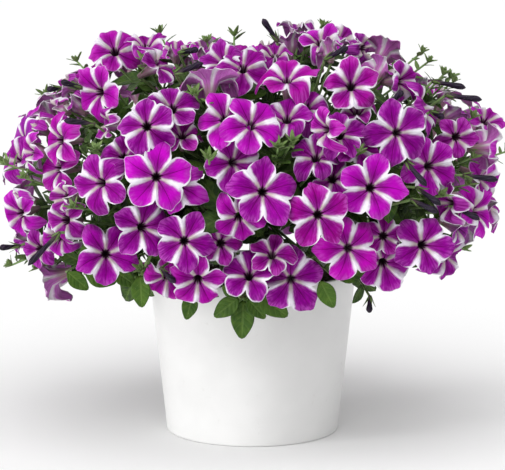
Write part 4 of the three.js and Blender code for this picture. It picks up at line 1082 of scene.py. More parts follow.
# Darker towards the throat: partly the petal's own deeper colour, partly painted shade of the
# funnel.
tint = blend(step(marks["Radius"], 6.0, 22.0), deep, bright)
tint = over(tint, step(marks["Streaks"], 0.35, 0.7, 0.0, 0.3), 190, 16, 188)
tint = over(tint, marks["Flush"] * 0.36, 212, 112, 212)
tint = over(tint, marks["Veins"] * 0.16, 120, 0, 112)
pale = blend(step(marks["Radius"], 7.0, 14.0), colour(196, 184, 176), colour(231, 227, 236))
# Grey streaks on the white bars: partly grey veining, partly painted shade of the grooves they lie
# in.
pale = over(pale, step(marks["Streaks"], 0.42, 0.72, 0.0, 0.6), 186, 176, 194)
tint = blend(marks["White"], tint, pale)
tint = over(tint, marks["Midrib"] * 0.7, 82, 0, 62)
tint = over(tint, marks["Throat"] * 0.92, 46, 10, 34)
folds = marks["Streaks"] * 0.9 + marks["Midrib"] * -0.5 + marks["Veins"] * -0.1
finish_with(shader, tint, step(marks["Streaks"], 0.2, 0.8, 0.52, 0.68), (folds, 0.5, 0.0009), {
    "Sheen Weight": 0.01, "Sheen Roughness": 0.35, "Specular IOR Level": 0.05,
})
print("petal face nodes", len(tree.nodes))

# %% Petal underside
petal_under, tree, shader = new_material("petal_underside", (176, 110, 178))
marks, shade = petal_marks(tree)
mauve = blend(shade, colour(194, 84, 184), colour(166, 80, 174))
mauve = over(mauve, step(marks["Streaks"], 0.3, 0.7, 0.0, 0.5), 212, 148, 212)
tint = over(mauve, marks["White"], 234, 228, 236)
vein = maths("MAXIMUM", marks["Midrib"], marks["Veins"] * 0.35)
tint = over(tint, vein * 0.5, 104, 58, 92)
tube_tone = blend(step(marks["Streaks"], 0.35, 0.65), colour(150, 104, 128), colour(128, 112, 92))
tint = blend(step(marks["Radius"], 4.0, 8.5, 0.9, 0.0), tint, tube_tone)
folds = marks["Streaks"] + vein * 0.6
finish_with(shader, tint, step(marks["Streaks"], 0.2, 0.8, 0.6, 0.75), (folds, 0.5, 0.0009), {
    "Sheen Weight": 0.1, "Specular IOR Level": 0.2,
})
print("underside nodes", len(tree.nodes))

# %% [markdown]
# ## Greens, buds, pot and soil
# Leaves are matt and hairy, with a pale midrib and side veins that slant towards the tip. Old
# leaves inside the plant are dark, and young ones at the shoot tips are light, so each leaf carries
# its youth, from 0 to 1, and the material reads it. The dark of a low youth is partly the older
# green of inner leaves and partly painted shade of the plant's inside. The soft blotches come from
# a second group that every remaining finish uses at its own scale.

# %% Blotch group and vein group
blotches, given, result = new_group(
    "soft_blotches",
    [("Size", "NodeSocketFloat", 10.0), ("Offset", "NodeSocketFloat", 0.0)],
    ["Blotch", "Fine"],
)
in_mm = vector_maths("SCALE", node(blotches, "ShaderNodeTexCoord")["Object"], 1 / MM)
spot = vector_maths("ADD", in_mm, given["Offset"])
per_mm = 1.0 / given["Size"]
fill(result, {"Blotch": noise(spot, per_mm, 3.0), "Fine": noise(spot, per_mm * 7.0, 3.0, 0.6)})

blade_veins, given, result = new_group(
    "blade_veins",
    [("Map", "NodeSocketVector", None), ("Pairs", "NodeSocketFloat", 6.0)],
    ["Vein", "Midrib", "Puff"],
)
flat = parts_of(given["Map"])
off = abs(flat[0] - 0.5)
rib = step(off, 0.03, 0.075, 1.0, 0.0)
wave = abs(maths("FRACT", (flat[1] - off * 0.45) * given["Pairs"]) - 0.5)
side_line = step(wave, 0.02, 0.1, 1.0, 0.0) * 0.7
vein = maths("MAXIMUM", rib, side_line)
fill(result, {"Vein": vein, "Midrib": rib, "Puff": step(wave, 0.0, 0.4)})
print("groups", [group.name for group in bpy.data.node_groups])

# %% Leaf, stem and bud
leaf_green, tree, shader = new_material("leaf_green", (84, 128, 54))
youth_and_inner_shade, shade = attribute(tree, "youth_and_inner_shade"), attribute(tree, "shade")
soft = grouped(tree, blotches, {"Size": 6.0})
veins = grouped(tree, blade_veins, {"Map": pattern_map(tree)})
# A low youth gives dark greens: partly the older green of inner leaves, partly painted shade deep
# in the plant.
old_and_shaded = blend(shade, colour(22, 44, 14), colour(40, 68, 20))
mid = blend(shade, colour(44, 78, 18), colour(64, 98, 26))
young = blend(shade, colour(102, 127, 74), colour(132, 156, 98))
tint = blend(step(youth_and_inner_shade, 0.5, 1.0), blend(step(youth_and_inner_shade, 0.0, 0.55), old_and_shaded, mid), young)
tint = over(tint, step(soft["Blotch"], 0.35, 0.7, 0.0, 0.35), 94, 126, 36)
tint = over(tint, veins["Vein"] * 0.26, 118, 146, 70)
height = soft["Fine"] * 0.4 + veins["Puff"] * 0.6 + veins["Midrib"] * -0.8
finish_with(shader, tint, step(soft["Fine"], 0.3, 0.7, 0.46, 0.64), (height, 0.55, 0.0006), {
    "Sheen Weight": 0.04, "Specular IOR Level": 0.24,
})

stem_green, tree, shader = new_material("stem_green", (104, 140, 74))
soft = grouped(tree, blotches, {"Size": 9.0})
# Stems deep in the plant have a low youth and are darker: partly older stems, partly painted shade.
tint = blend(attribute(tree, "youth_and_inner_shade"), colour(74, 96, 50), colour(118, 152, 82))
tint = over(tint, step(soft["Blotch"], 0.5, 0.75, 0.0, 0.5), 112, 92, 84)
tint = over(tint, step(soft["Fine"], 0.4, 0.8, 0.0, 0.3), 150, 172, 116)
finish_with(shader, tint, step(soft["Fine"], 0.3, 0.7, 0.5, 0.68), (soft["Fine"], 0.4, 0.0003), {
    "Sheen Weight": 0.12, "Sheen Roughness": 0.4,
})

bud_violet, tree, shader = new_material("bud_violet", (58, 34, 74))
flat = parts_of(pattern_map(tree))
soft = grouped(tree, blotches, {"Size": 5.0})
twist = maths("FRACT", flat[1] * 3.0 + flat[0] * 5.0)
ridge_with_highlight = step(abs(twist - 0.5), 0.03, 0.16, 1.0, 0.0)
tint = blend(step(flat[1], 0.12, 0.4), colour(92, 74, 78), colour(17, 9, 27))
tint = over(tint, step(soft["Blotch"], 0.4, 0.7, 0.0, 0.35), 58, 22, 66)
# Pale violet along the twisted ridges is painted highlight; the same ridges also shape the relief.
tint = over(tint, ridge_with_highlight * 0.14, 118, 110, 134)
height = ridge_with_highlight + soft["Fine"]
finish_with(shader, tint, step(soft["Fine"], 0.3, 0.7, 0.4, 0.58), (height, 0.6, 0.0004), {
    "Specular IOR Level": 0.25,
})
print("greens", leaf_green.name, stem_green.name, bud_violet.name)

# %% Pot and soil
pot_white, tree, shader = new_material("pot_white", (242, 242, 241))
soft = grouped(tree, blotches, {"Size": 60.0})
peel = grouped(tree, blotches, {"Size": 4.0, "Offset": 31.0})["Blotch"]
tint = blend(step(soft["Blotch"], 0.3, 0.7), colour(237, 237, 236), colour(230, 230, 229))
tint = over(tint, step(soft["Fine"], 0.64, 0.8, 0.0, 0.35), 216, 215, 212)
finish_with(shader, tint, step(soft["Fine"], 0.3, 0.7, 0.3, 0.42), (peel, 0.12, 0.0004), {
    "Specular IOR Level": 0.45,
})

soil_dark, tree, shader = new_material("soil_dark", (58, 42, 30))
soft = grouped(tree, blotches, {"Size": 7.0})
tint = blend(step(soft["Blotch"], 0.3, 0.7), colour(40, 28, 20), colour(74, 54, 38))
tint = over(tint, step(soft["Fine"], 0.55, 0.75, 0.0, 0.6), 104, 78, 54)
height = soft["Blotch"] + soft["Fine"]
finish_with(shader, tint, step(soft["Fine"], 0.2, 0.8, 0.8, 0.98), (height, 0.9, 0.0022))

perlite_white, tree, shader = new_material("perlite_white", (222, 219, 210))
soft = grouped(tree, blotches, {"Size": 2.0})
tint = blend(step(soft["Blotch"], 0.3, 0.7), colour(232, 230, 224), colour(190, 184, 172))
roughness = step(soft["Fine"], 0.3, 0.7, 0.75, 0.95)
finish_with(shader, tint, roughness, (soft["Fine"], 0.8, 0.0008))
print("finishes", len(bpy.data.materials))

# %% [markdown]
# ## The flowers as meshes
# The flowers that hang on one stem make one piece, which takes the place of that stem's plain
# bunches. Large flowers at the front have the finest waves, because they are looked at most.

# %% Flower pieces
LARGE_AROUND, FRONT_AROUND, BACK_AROUND = 75, 55, 40
petal_patches = {stem["number"]: Patch() for stem in stems}
for bunch in bunches:
    for bloom in bunch["blooms"]:
        if not bloom.get("bud"):
            around = FRONT_AROUND if bloom["front"] else BACK_AROUND
            around = LARGE_AROUND if bloom["large"] else around
            add_corolla(petal_patches[bunch["stem"]["number"]], bloom, around)
flower_pieces = []
flower_shelf = bpy.data.collections.new("flowers")
bpy.context.scene.collection.children.link(flower_shelf)
for number, patch in petal_patches.items():
    if patch.count:
        piece = write_piece(f"flowers_{number:02d}", patch, [petal_face, petal_under])
        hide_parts(*[b["node"] for b in bunches if b["stem"]["number"] == number])
        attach(piece, "root")
        flower_pieces.append(piece)
        flower_shelf.objects.link(piece)
face_count = sum(len(piece.data.polygons) for piece in flower_pieces)
print("flower pieces", len(flower_pieces), "faces", face_count)

# %% [markdown]
# ## Leaves that keep off the flowers
# A leaf is a closed blade: rings of points along its length, folded a little at the midrib and
# bent down to its tip. Before one grows, a ray along it says how far off the next petal is, and
# the leaf stays shorter than that, as a real one is pushed aside by a flower.

# %% Free room for a leaf
from mathutils import Vector
from mathutils.bvhtree import BVHTree

LEAF_SHARE = 0.92
STEM_LOOK, LEAF_LOOK, BUD_LOOK = 0, 1, 2
OVATE, NARROW, SEPAL = 0, 1, 2
petal_points, petal_faces, count = [], [], 0
for patch in petal_patches.values():
    petal_points += np.concatenate(patch.points).tolist() if patch.count else []
    petal_faces += [[i + count for i in face] for face in patch.faces]
    count += patch.count
petal_wall = BVHTree.FromPolygons(petal_points, petal_faces)


def free_length(at, way, wanted):
    """How long a leaf can be from here before it meets a petal. The ray starts 2 mm ahead."""
    hit = petal_wall.ray_cast(Vector(at + way * 2), Vector(way), wanted * 1.25)
    return wanted if hit[0] is None else min(wanted, 0.8 * (hit[3] + 2))


def length_inside(at, way, wanted):
    """How long a leaf can be before its tip comes out in front of the flowers."""
    for size in (1, 0.85, 0.7, 0.55):
        offset = at + way * wanted * size - MOUND_CENTRE
        if (np.abs(offset / mound_size(offset)) ** MOUND_POWER).sum() < LEAF_SHARE**MOUND_POWER:
            return wanted * size
    return 0.0


print("petal faces that leaves keep off", len(petal_faces))


# %% Blades
def blade_width(kind, t):
    if kind == OVATE:
        return 0.1 + 0.9 * np.sin(math.pi * np.clip(t * 1.04 - 0.06, 0, 1) ** 0.8) ** 0.9
    if kind == NARROW:
        return 0.34 + 0.66 * np.sin(math.pi * t**0.85) ** 0.55 - 0.34 * t
    return 0.7 + 0.3 * np.sin(math.pi * t) - 0.62 * t**2


def blade_points(length, half_width, droop, kind, rings, around, thick):
    """Points of a closed blade along +x, its upper face towards +z, and their map."""
    t = 1 - (1 - np.linspace(0, 1, rings + 2)[1:-1]) ** 1.35
    width = half_width * blade_width(kind, t)
    turns = circle(around)
    across, side = np.cos(turns), np.sin(turns)
    arch = -droop * length * t**2
    ripple = 0.05 * half_width * np.sin(t * 11)
    points, spots = [[0, 0, 0]], [[0.5, 0]]
    for share, wide, low, wave in zip(t, width, arch, ripple):
        fold = 0.24 * wide * np.abs(across) + wave * across
        skin = 0.5 * thick * side * (1 - 0.5 * np.abs(across))
        along = np.full(around, share)
        points += np.stack([along * length, across * wide, low + fold + skin], 1).tolist()
        spots += np.stack([0.5 + 0.5 * across, along], 1).tolist()
    points.append([length, 0, -droop * length])
    spots.append([0.5, 1])
    return np.array(points), np.array(spots)


def add_blade(patch, at, way, face, kind, size, tone, fine=False, thick=0.5):
    """A leaf from a point, if it has room. size is (length, half width, droop as a share of the
    length), and tone is (youth, shade). A low youth darkens the leaf, partly as older green and
    partly as painted shade inside the plant."""
    length, half_width, droop = size
    free = free_length(at, way, length)
    if free < 0.4 * length:
        return
    rings, around = (10, 12) if fine else ((5, 8) if kind == OVATE else (4, 6))
    half_width *= free / length
    local, spots = blade_points(free, half_width, droop, kind, rings, around, thick)
    side = unit(np.cross(face, way))
    turned = np.stack([way, side, np.cross(way, side)], 1)
    reads = np.tile(tone, (len(local), 1))
    patch.add(local @ turned.T + at, rod_faces(rings, around), LEAF_LOOK, spots, reads)


sample, _ = blade_points(40, 12, 0.2, OVATE, 5, 8, 0.5)
print("a leaf has", len(sample), "points and", len(rod_faces(5, 8)), "faces")

# %% [markdown]
# ## Stems, shoots, calyxes and buds
# Every stalk follows the route that was worked out above, as a smooth round rod that gets
# thinner towards its end. A flower's tube stands in a calyx of five narrow sepals. A furled bud
# is a slim twisted spindle.

# %% Calyx and bud
SEPALS = 5
SEPAL_HALF_WIDTH, SEPAL_DROOP = 1.25, 0.12
CALYX_STREAM = 9000
BUD_RADIUS = 3.2
BUD_POINTS, BUD_RINGS, BUD_FLUTES = 15, 16, 5
BUD_PROFILE = ([0, 0.12, 0.45, 0.68, 0.84, 0.95, 1], [0.5, 0.6, 0.66, 0.86, 1, 0.74, 0.3])


def add_calyx(patch, bloom, spread):
    draw = draws_from(bloom["seed"] + CALYX_STREAM)
    axis = bloom["axis"]
    own = basis(axis, bloom["hint"])
    start = 2 * math.pi * draw()
    for i in range(SEPALS):
        turn = start + 2 * math.pi * i / SEPALS + 0.3 * (draw() - 0.5)
        outwards = own[:, 0] * math.cos(turn) + own[:, 1] * math.sin(turn)
        lean = spread + 0.22 * draw()
        way = axis * math.cos(lean) + outwards * math.sin(lean)
        face = axis * math.sin(lean) - outwards * math.cos(lean)
        at = bloom["root"] + outwards * 1.5 - axis * 0.4
        size = (10 + 3 * draw(), SEPAL_HALF_WIDTH, SEPAL_DROOP)
        add_blade(patch, at, way, face, SEPAL, size, (0.7 + 0.2 * draw(), draw()))


def add_bud(patch, bud):
    t = np.linspace(0, 1, BUD_RINGS)
    turns = circle(BUD_POINTS)
    own = basis(bud["axis"], bud["hint"])
    points, spots = [bud["root"]], [[0.5, 0]]
    for share, wide in zip(t, np.interp(t, *BUD_PROFILE)):
        flute = 1 - 0.13 * share * (1 + np.cos(BUD_FLUTES * turns + 3.4 * share))
        ring = np.stack([np.cos(turns), np.sin(turns)], 1) * (BUD_RADIUS * wide * flute)[:, None]
        height = np.full((BUD_POINTS, 1), share * bud["tall"] * 0.97)
        points += (np.hstack([ring, height]) @ own.T + bud["root"]).tolist()
        spots += np.stack([turns / (2 * math.pi), np.full(BUD_POINTS, share)], 1).tolist()
    points.append(bud["at"])
    spots.append([0.5, 1])
    reads = np.tile([0.5, 0.5], (len(points), 1))
    patch.add(points, rod_faces(BUD_RINGS, BUD_POINTS), BUD_LOOK, np.array(spots), reads)


print("a bud has", len(rod_faces(BUD_RINGS, BUD_POINTS)), "faces")

# %% Leaves of a shoot
TIP_RISE = 0.9
INNER_LEAVES, TIP_WHORL, TIP_HEART, TIP_SIDE = 4, 5, 5, 7
LEAF_TONE_STREAM = 11000


def ways_round(direction):
    """A function that gives the way of a leaf, by its turn round the shoot and its spread."""
    own = basis(direction, UPWARDS)

    def way_at(turn, spread):
        flat = own[:, 0] * math.cos(turn) + own[:, 1] * math.sin(turn)
        return flat * math.sin(spread) + direction * math.cos(spread)

    return way_at


def leaf_face(pointing, way):
    face = pointing - way * pointing.dot(way)
    return TOWARDS if np.linalg.norm(face) < 0.1 else unit(face)


def add_inner_leaves(patch, end, direction, start, draw, tone):
    length, half_width, rise = 34 + 10 * draw(), 8 + 3 * draw(), 0.35 + 0.3 * draw()
    way_at = ways_round(direction)
    for i in range(INNER_LEAVES):
        turn = start + math.pi / INNER_LEAVES + i * 2 * math.pi / INNER_LEAVES
        way = way_at(turn, math.pi / 2 - rise)
        inside = length_inside(end, way, length)
        if inside:
            size = (inside, half_width * 1.3 * inside / length, 0.15)
            # Inner leaves get a low youth, which paints them dark: partly older green, partly
            # painted shade of the plant's inside.
            look = (0.08 + 0.24 * tone(), tone())
            add_blade(patch, end, way, leaf_face(direction, way), OVATE, size, look)


def add_tip_leaves(patch, points, direction, start, draw, tone):
    """A whorl at the tip, young leaves in its heart, and larger ones down the shoot."""
    length, rise = 11 + 4 * draw(), 0.75 + 0.25 * draw()
    direction = unit(direction + TIP_RISE * UPWARDS)
    way_at = ways_round(direction)
    at = points[2] - direction
    for i in range(TIP_WHORL):
        turn = start + math.pi / TIP_WHORL + i * 2 * math.pi / TIP_WHORL
        way = way_at(turn, math.pi / 2 - rise)
        size = (length * (0.78 + 0.2 * tone()), 2.5, 0.1)
        look = (0.85 + 0.15 * tone(), tone())
        add_blade(patch, at, way, leaf_face(direction, way), NARROW, size, look, thick=0.9)
    for i in range(TIP_HEART):
        way = way_at(start + i * 1.3, 0.24 + 0.2 * tone())
        size = (6 + 3 * tone(), 1.7, 0.0)
        look = (1.0, tone())
        add_blade(patch, at, way, leaf_face(direction, way), NARROW, size, look, thick=1.1)
    for i in range(TIP_SIDE):
        at = points[1] + (points[2] - points[1]) * (0.93 - 0.07 * i)
        way = way_at(start + i * GOLDEN_ANGLE, 0.8 + 0.3 * tone())
        length = 12 + 1.8 * i + 3 * tone()
        kind, wide = (NARROW, 0.2) if i < 4 else (OVATE, 0.27)
        size = (length, length * wide, 0.16)
        look = (0.8 - 0.07 * i, tone())
        add_blade(patch, at, way, leaf_face(direction, way), kind, size, look, thick=0.8)


def add_shoot_leaves(patch, shoot):
    draw, tone = draws_from(shoot["seed"]), draws_from(shoot["seed"] + LEAF_TONE_STREAM)
    points = shoot["points"]
    direction = unit(points[2] - points[1])
    if shoot["kind"] == "edge":
        way, length = shoot["pointing"], shoot["length"]
        look = (0.32 + 0.25 * tone(), tone())
        size = (length, length * 0.3, 0.12)
        at = points[2] - direction * 0.8
        add_blade(patch, at, way, leaf_face(way, way), OVATE, size, look, fine=True)
        return
    start = draw() * 2 * math.pi
    if shoot["kind"] == "inner":
        add_inner_leaves(patch, points[2], direction, start, draw, tone)
    else:
        add_tip_leaves(patch, points, direction, start, draw, tone)


print("leaves at a shoot's tip", TIP_WHORL + TIP_HEART + TIP_SIDE)

# %% Leafy pieces
# Each kind of stalk has its radius at the start, its radius at the end and its youth. A low youth
# darkens stems deep in the plant, partly as older green and partly as painted shade.
STALKS = {
    "stem": (STEM_RADIUS, 2.3, 0.1), "branch": (1.7, 1.5, 0.3),
    "stalk": (STALK_RADIUS, 1.15, 0.6), "shoot": (1.4, 0.9, 0.75),
}
BUD_SPREAD, FLOWER_SPREAD = 0.12, 0.16
green_patches = {stem["number"]: Patch() for stem in stems}


def add_route(number, points, kind, steps=6, around=8):
    thick, thin, youth_and_inner_shade = STALKS[kind]
    path = curve_through(points, steps)
    radii = np.linspace(thick, thin, len(path))
    add_rod(green_patches[number], path, radii, around, STEM_LOOK, youth_and_inner_shade)


for stem in stems:
    add_route(stem["number"], stem["points"], "stem", around=12)
for bunch in bunches:
    number = bunch["stem"]["number"]
    add_route(number, [bunch["stem"]["hub"], bunch["hub"]], "branch", steps=4)
    for bloom in bunch["blooms"]:
        start, middle, end = bloom["route"]
        add_route(number, [start, middle, end + bloom["axis"] * 0.8], "stalk")
        spread = BUD_SPREAD if bloom.get("bud") else FLOWER_SPREAD
        add_calyx(green_patches[number], bloom, spread)
        if bloom.get("bud"):
            add_bud(green_patches[number], bloom)
for shoot in shoots:
    number = shoot["stem"]["number"]
    add_route(number, shoot["points"], "shoot")
    add_shoot_leaves(green_patches[number], shoot)
green_finishes, green_reads = [stem_green, leaf_green, bud_violet], ("youth_and_inner_shade", "shade")
for number, patch in green_patches.items():
    piece = write_piece(f"leafy_{number:02d}", patch, green_finishes, green_reads)
    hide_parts(f"leafy_stem_{number:02d}")
    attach(piece, "root")
    print(piece.name, "faces", len(piece.data.polygons))

# %% [markdown]
# ## Leaves along every shoot
# The plant would look hollow with flowers alone. Some hundreds of leaves stand along its
# branches and stalks, a golden angle apart round the stem, as they grow. That is a rule, so
# Geometry Nodes follow it: the paths become curves, each point of a curve gets one leaf, and a
# ray along the leaf shortens it before it meets a petal.

# %% A tree of geometry nodes, and a plain mesh from it
def new_modifier_tree(name, inputs):
    """A tree whose inputs are (title, kind), after the geometry. Kinds are given in short."""
    made = bpy.data.node_groups.new(name, "GeometryNodeTree")
    rows = [("Geometry", "Geometry"), *inputs]
    for title, kind in rows:
        made.interface.new_socket(title, in_out="INPUT", socket_type="NodeSocket" + kind)
    made.interface.new_socket("Geometry", in_out="OUTPUT", socket_type="NodeSocketGeometry")
    result = made.nodes.new("NodeGroupOutput").inputs
    return made, node(made, "NodeGroupInput"), result


def end_tree(placed, finish, result):
    """The last nodes of each tree: the instances become real and get their finish."""
    tree = tree_of(placed)
    real = node(tree, "GeometryNodeRealizeInstances", {"Geometry": placed})[0]
    inputs = {"Geometry": real, "Material": finish}
    feed(result["Geometry"], node(tree, "GeometryNodeSetMaterial", inputs)[0])


def grow(source, made, name, values):
    """Run a tree on an object and keep what it makes as a plain mesh of its own."""
    modifier = source.modifiers.new(name, "NODES")
    modifier.node_group = made
    for item in made.interface.items_tree:
        if item.in_out == "INPUT" and item.name in values:
            modifier[item.identifier] = values[item.name]
    depsgraph = bpy.context.evaluated_depsgraph_get()
    mesh = bpy.data.meshes.new_from_object(
        source.evaluated_get(depsgraph), preserve_all_data_layers=True, depsgraph=depsgraph
    )
    source.modifiers.remove(modifier)
    mesh.name = name
    mesh.materials.clear()
    mesh.materials.append(values["Finish"])
    mesh.polygons.foreach_set("material_index", np.zeros(len(mesh.polygons), np.int32))
    return put_in_scene(name, mesh)


def put_away(thing):
    mesh = thing.data
    bpy.data.objects.remove(thing)
    bpy.data.meshes.remove(mesh)


def pattern_object(name, points, faces, spots=None):
    """A small shape that a tree repeats."""
    patch = Patch()
    patch.add(points, faces, 0, spots)
    return write_piece(name, patch, [], ())


def turn_about(rotation, axis, angle):
    tree = tree_of(rotation)
    twist = node(tree, "FunctionNodeAxisAngleToRotation", {"Axis": axis, "Angle": angle})[0]
    inputs = {"Rotation": rotation, "Rotate By": twist}
    return node(tree, "FunctionNodeRotateRotation", inputs, rotation_space="LOCAL")[0]


def chance(low, high, seed):
    """A random number for each point. Only the sockets for floats are in use."""
    made = tree_of(seed).nodes.new("FunctionNodeRandomValue")
    made.data_type = "FLOAT"
    inputs = {"Min": low, "Max": high, "Seed": seed}
    for socket in made.inputs:
        if socket.enabled and socket.name in inputs:
            feed(socket, inputs[socket.name])
    return Value(next(socket for socket in made.outputs if socket.enabled))


print("geometry tools ready")

# %% The tree that sets leaves along paths: places and ways
leafing, given, result = new_modifier_tree("leaves_along_paths", [
    ("Leaf", "Object"), ("Flowers", "Collection"), ("Spacing", "Float"), ("Lean", "Float"),
    ("Smallest", "Float"), ("Largest", "Float"), ("Leaf Length", "Float"),
    ("Outer Share", "Float"), ("Seed", "Int"), ("Finish", "Material"),
])
seed, leaf_length = given["Seed"], given["Leaf Length"]
curve = node(leafing, "GeometryNodeMeshToCurve", {"Mesh": given["Geometry"]})[0]
inputs = {"Curve": curve, "Length": given["Spacing"]}
places = node(leafing, "GeometryNodeResampleCurve", inputs, mode="LENGTH")[0]
tangent = node(leafing, "GeometryNodeInputTangent")[0]
facing = node(leafing, "FunctionNodeAlignRotationToVector", {"Vector": tangent}, axis="Z")[0]
index = node(leafing, "GeometryNodeInputIndex")[0]
facing = turn_about(facing, (0, 0, 1), index * GOLDEN_ANGLE)
droop = given["Lean"] - math.pi / 2 + chance(-0.3, 0.3, seed)
facing = turn_about(facing, (0, 1, 0), droop)
facing = turn_about(facing, (1, 0, 0), chance(-0.5, 0.5, seed))
inputs = {"Vector": (1, 0, 0), "Rotation": facing}
leaf_way = node(leafing, "FunctionNodeRotateVector", inputs)[0]
print("nodes for places", len(leafing.nodes))

# %% The size of each leaf: a ray finds the petals, and the mound is its limit
here = node(leafing, "GeometryNodeInputPosition")[0]
petals = node(leafing, "GeometryNodeCollectionInfo", {"Collection": given["Flowers"]})[0]
ray = node(leafing, "GeometryNodeRaycast", {
    "Target Geometry": node(leafing, "GeometryNodeRealizeInstances", {"Geometry": petals})[0],
    "Source Position": vector_maths("ADD", here, vector_maths("SCALE", leaf_way, 2 * MM)),
    "Ray Direction": leaf_way, "Ray Length": leaf_length * 1.5,
})
room = ray["Hit Distance"] * 0.85 / leaf_length
wanted = chance(given["Smallest"], given["Largest"], seed)
size = node(leafing, "GeometryNodeSwitch", {
    "Switch": ray["Is Hit"], "False": wanted, "True": maths("MINIMUM", wanted, room),
}, input_type="FLOAT")[0]
tip = vector_maths("ADD", here, vector_maths("SCALE", leaf_way, size * leaf_length))
tip = parts_of(vector_maths("SUBTRACT", tip, MOUND_CENTRE * MM))
across, deep = (abs(tip[k]) / (MOUND_SIZE[k] * MM) for k in (0, 1))
tall = maths("MAXIMUM", tip[2] / (MOUND_SIZE[2] * MM), tip[2] / (-MOUND_DROP * MM))
total = across**MOUND_POWER + deep**MOUND_POWER + tall**MOUND_POWER
limit = given["Outer Share"] ** MOUND_POWER
big_enough = node(leafing, "FunctionNodeCompare", {0: size, 1: given["Smallest"]})[0]
inside = node(leafing, "FunctionNodeCompare", {0: limit, 1: total})[0]
fits = node(leafing, "FunctionNodeBooleanMath", {0: big_enough, 1: inside}, operation="AND")[0]
print("nodes with the sizes", len(leafing.nodes))

# %% The leaves in their places
placed = node(leafing, "GeometryNodeInstanceOnPoints", {
    "Points": places, "Selection": fits, "Rotation": facing, "Scale": size,
    "Instance": node(leafing, "GeometryNodeObjectInfo", {"Object": given["Leaf"]})["Geometry"],
})[0]
inputs = {"Geometry": placed, "Name": "shade", "Value": chance(0.0, 1.0, seed)}
settings = {"domain": "INSTANCE", "data_type": "FLOAT"}
placed = node(leafing, "GeometryNodeStoreNamedAttribute", inputs, **settings)[0]
end_tree(placed, given["Finish"], result)
print("leaf tree nodes", len(leafing.nodes))

# %% Paths that carry leaves, and the leaves
LEAF_LENGTH, LEAF_HALF_WIDTH, LEAF_DROOP = 30.0, 9.0, 0.16
LEAF_RINGS, LEAF_POINTS, LEAF_THICKNESS = 5, 8, 0.5


def leafy_path(points, first, last):
    """The part of a route that carries leaves, and the youth of the leaves along it. The youth is
    low near the heart, which darkens those leaves, partly as older green and partly as painted
    shade.
    """
    path = curve_through(points, 8)
    shares = np.linspace(0, 1, len(path))
    wanted = (shares >= first) & (shares <= last)
    # Youth is low near the heart: leaves there are painted darker, partly older green, partly
    # painted shade.
    return path[wanted], 0.05 + 0.45 * shares[wanted] ** 2


def path_object(name, paths):
    mesh = bpy.data.meshes.new(name)
    points = np.concatenate([path for path, _ in paths]) * MM
    edges, start = [], 0
    for path, _ in paths:
        edges += [(start + i, start + i + 1) for i in range(len(path) - 1)]
        start += len(path)
    mesh.from_pydata(points.tolist(), edges, [])
    youth_and_inner_shade = np.concatenate([youth_and_inner_shade for _, youth_and_inner_shade in paths]).astype(np.float32)
    mesh.attributes.new("youth_and_inner_shade", "FLOAT", "POINT").data.foreach_set("value", youth_and_inner_shade)
    return put_in_scene(name, mesh)


points, spots = blade_points(
    LEAF_LENGTH, LEAF_HALF_WIDTH, LEAF_DROOP, OVATE, LEAF_RINGS, LEAF_POINTS, LEAF_THICKNESS
)
leaf_faces = rod_faces(LEAF_RINGS, LEAF_POINTS)
leaf_pattern = pattern_object("leaf_pattern", points, leaf_faces, spots)
paths = {stem["number"]: [] for stem in stems}
for bunch in bunches:
    rows, hub, end = paths[bunch["stem"]["number"]], bunch["stem"]["hub"], bunch["hub"]
    rows.append(leafy_path([hub, (hub + end) / 2, end], 0.1, 1.0))
    rows += [leafy_path(bloom["route"], 0.15, 0.95) for bloom in bunch["blooms"]]
for shoot in shoots:
    last = 0.7 if shoot["kind"] == "tip" else 0.95
    paths[shoot["stem"]["number"]].append(leafy_path(shoot["points"], 0.15, last))
for number, rows in paths.items():
    guide = path_object(f"paths_{number:02d}", rows)
    leaves = grow(guide, leafing, f"leaves_{number:02d}", {
        "Leaf": leaf_pattern, "Flowers": flower_shelf, "Spacing": 0.0125, "Lean": 0.95,
        "Smallest": 0.4, "Largest": 1.15, "Leaf Length": LEAF_LENGTH * MM,
        "Outer Share": LEAF_SHARE, "Seed": number, "Finish": leaf_green,
    })
    put_away(guide)
    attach(leaves, "root")
    print(leaves.name, "leaves", len(leaves.data.polygons) // len(leaf_faces))
put_away(leaf_pattern)

# %% [markdown]
# ## The pot
# The pot is one smooth tapered shell with no lip. Its outline is turned round the axis, and the
# drainage holes are cut through its floor with a Boolean modifier, which is then applied.

# %% Outline turned into a shell
POT_FOOT_RADIUS, POT_RIM_RADIUS, POT_WALL, POT_FLOOR = 79, 95, 3, 4
POT_POINTS = 128
taper = (POT_RIM_RADIUS - POT_FOOT_RADIUS) / POT_HEIGHT
inner_foot = POT_FOOT_RADIUS + taper * POT_FLOOR - POT_WALL
side_foot, side_low, side_high = POT_FOOT_RADIUS + 0.2, 2.2, POT_HEIGHT - 3.4
outline = [
    (POT_FOOT_RADIUS - 2.6, 0), (POT_FOOT_RADIUS - 1.2, 0.3), (POT_FOOT_RADIUS - 0.3, 1.1),
    (side_foot, side_low),
]
outline += [
    (side_foot + (POT_RIM_RADIUS - POT_FOOT_RADIUS - 0.2) * t, side_low + side_high * t)
    for t in np.linspace(0.08, 1, 12)
]
outline += [
    (POT_RIM_RADIUS - 0.3, POT_HEIGHT - 0.35), (POT_RIM_RADIUS - 1.0, POT_HEIGHT),
    (POT_RIM_RADIUS - POT_WALL + 0.5, POT_HEIGHT), (POT_RIM_RADIUS - POT_WALL, POT_HEIGHT - 0.6),
    (inner_foot + 0.6, POT_FLOOR + 1.6), (inner_foot - 1.2, POT_FLOOR),
]


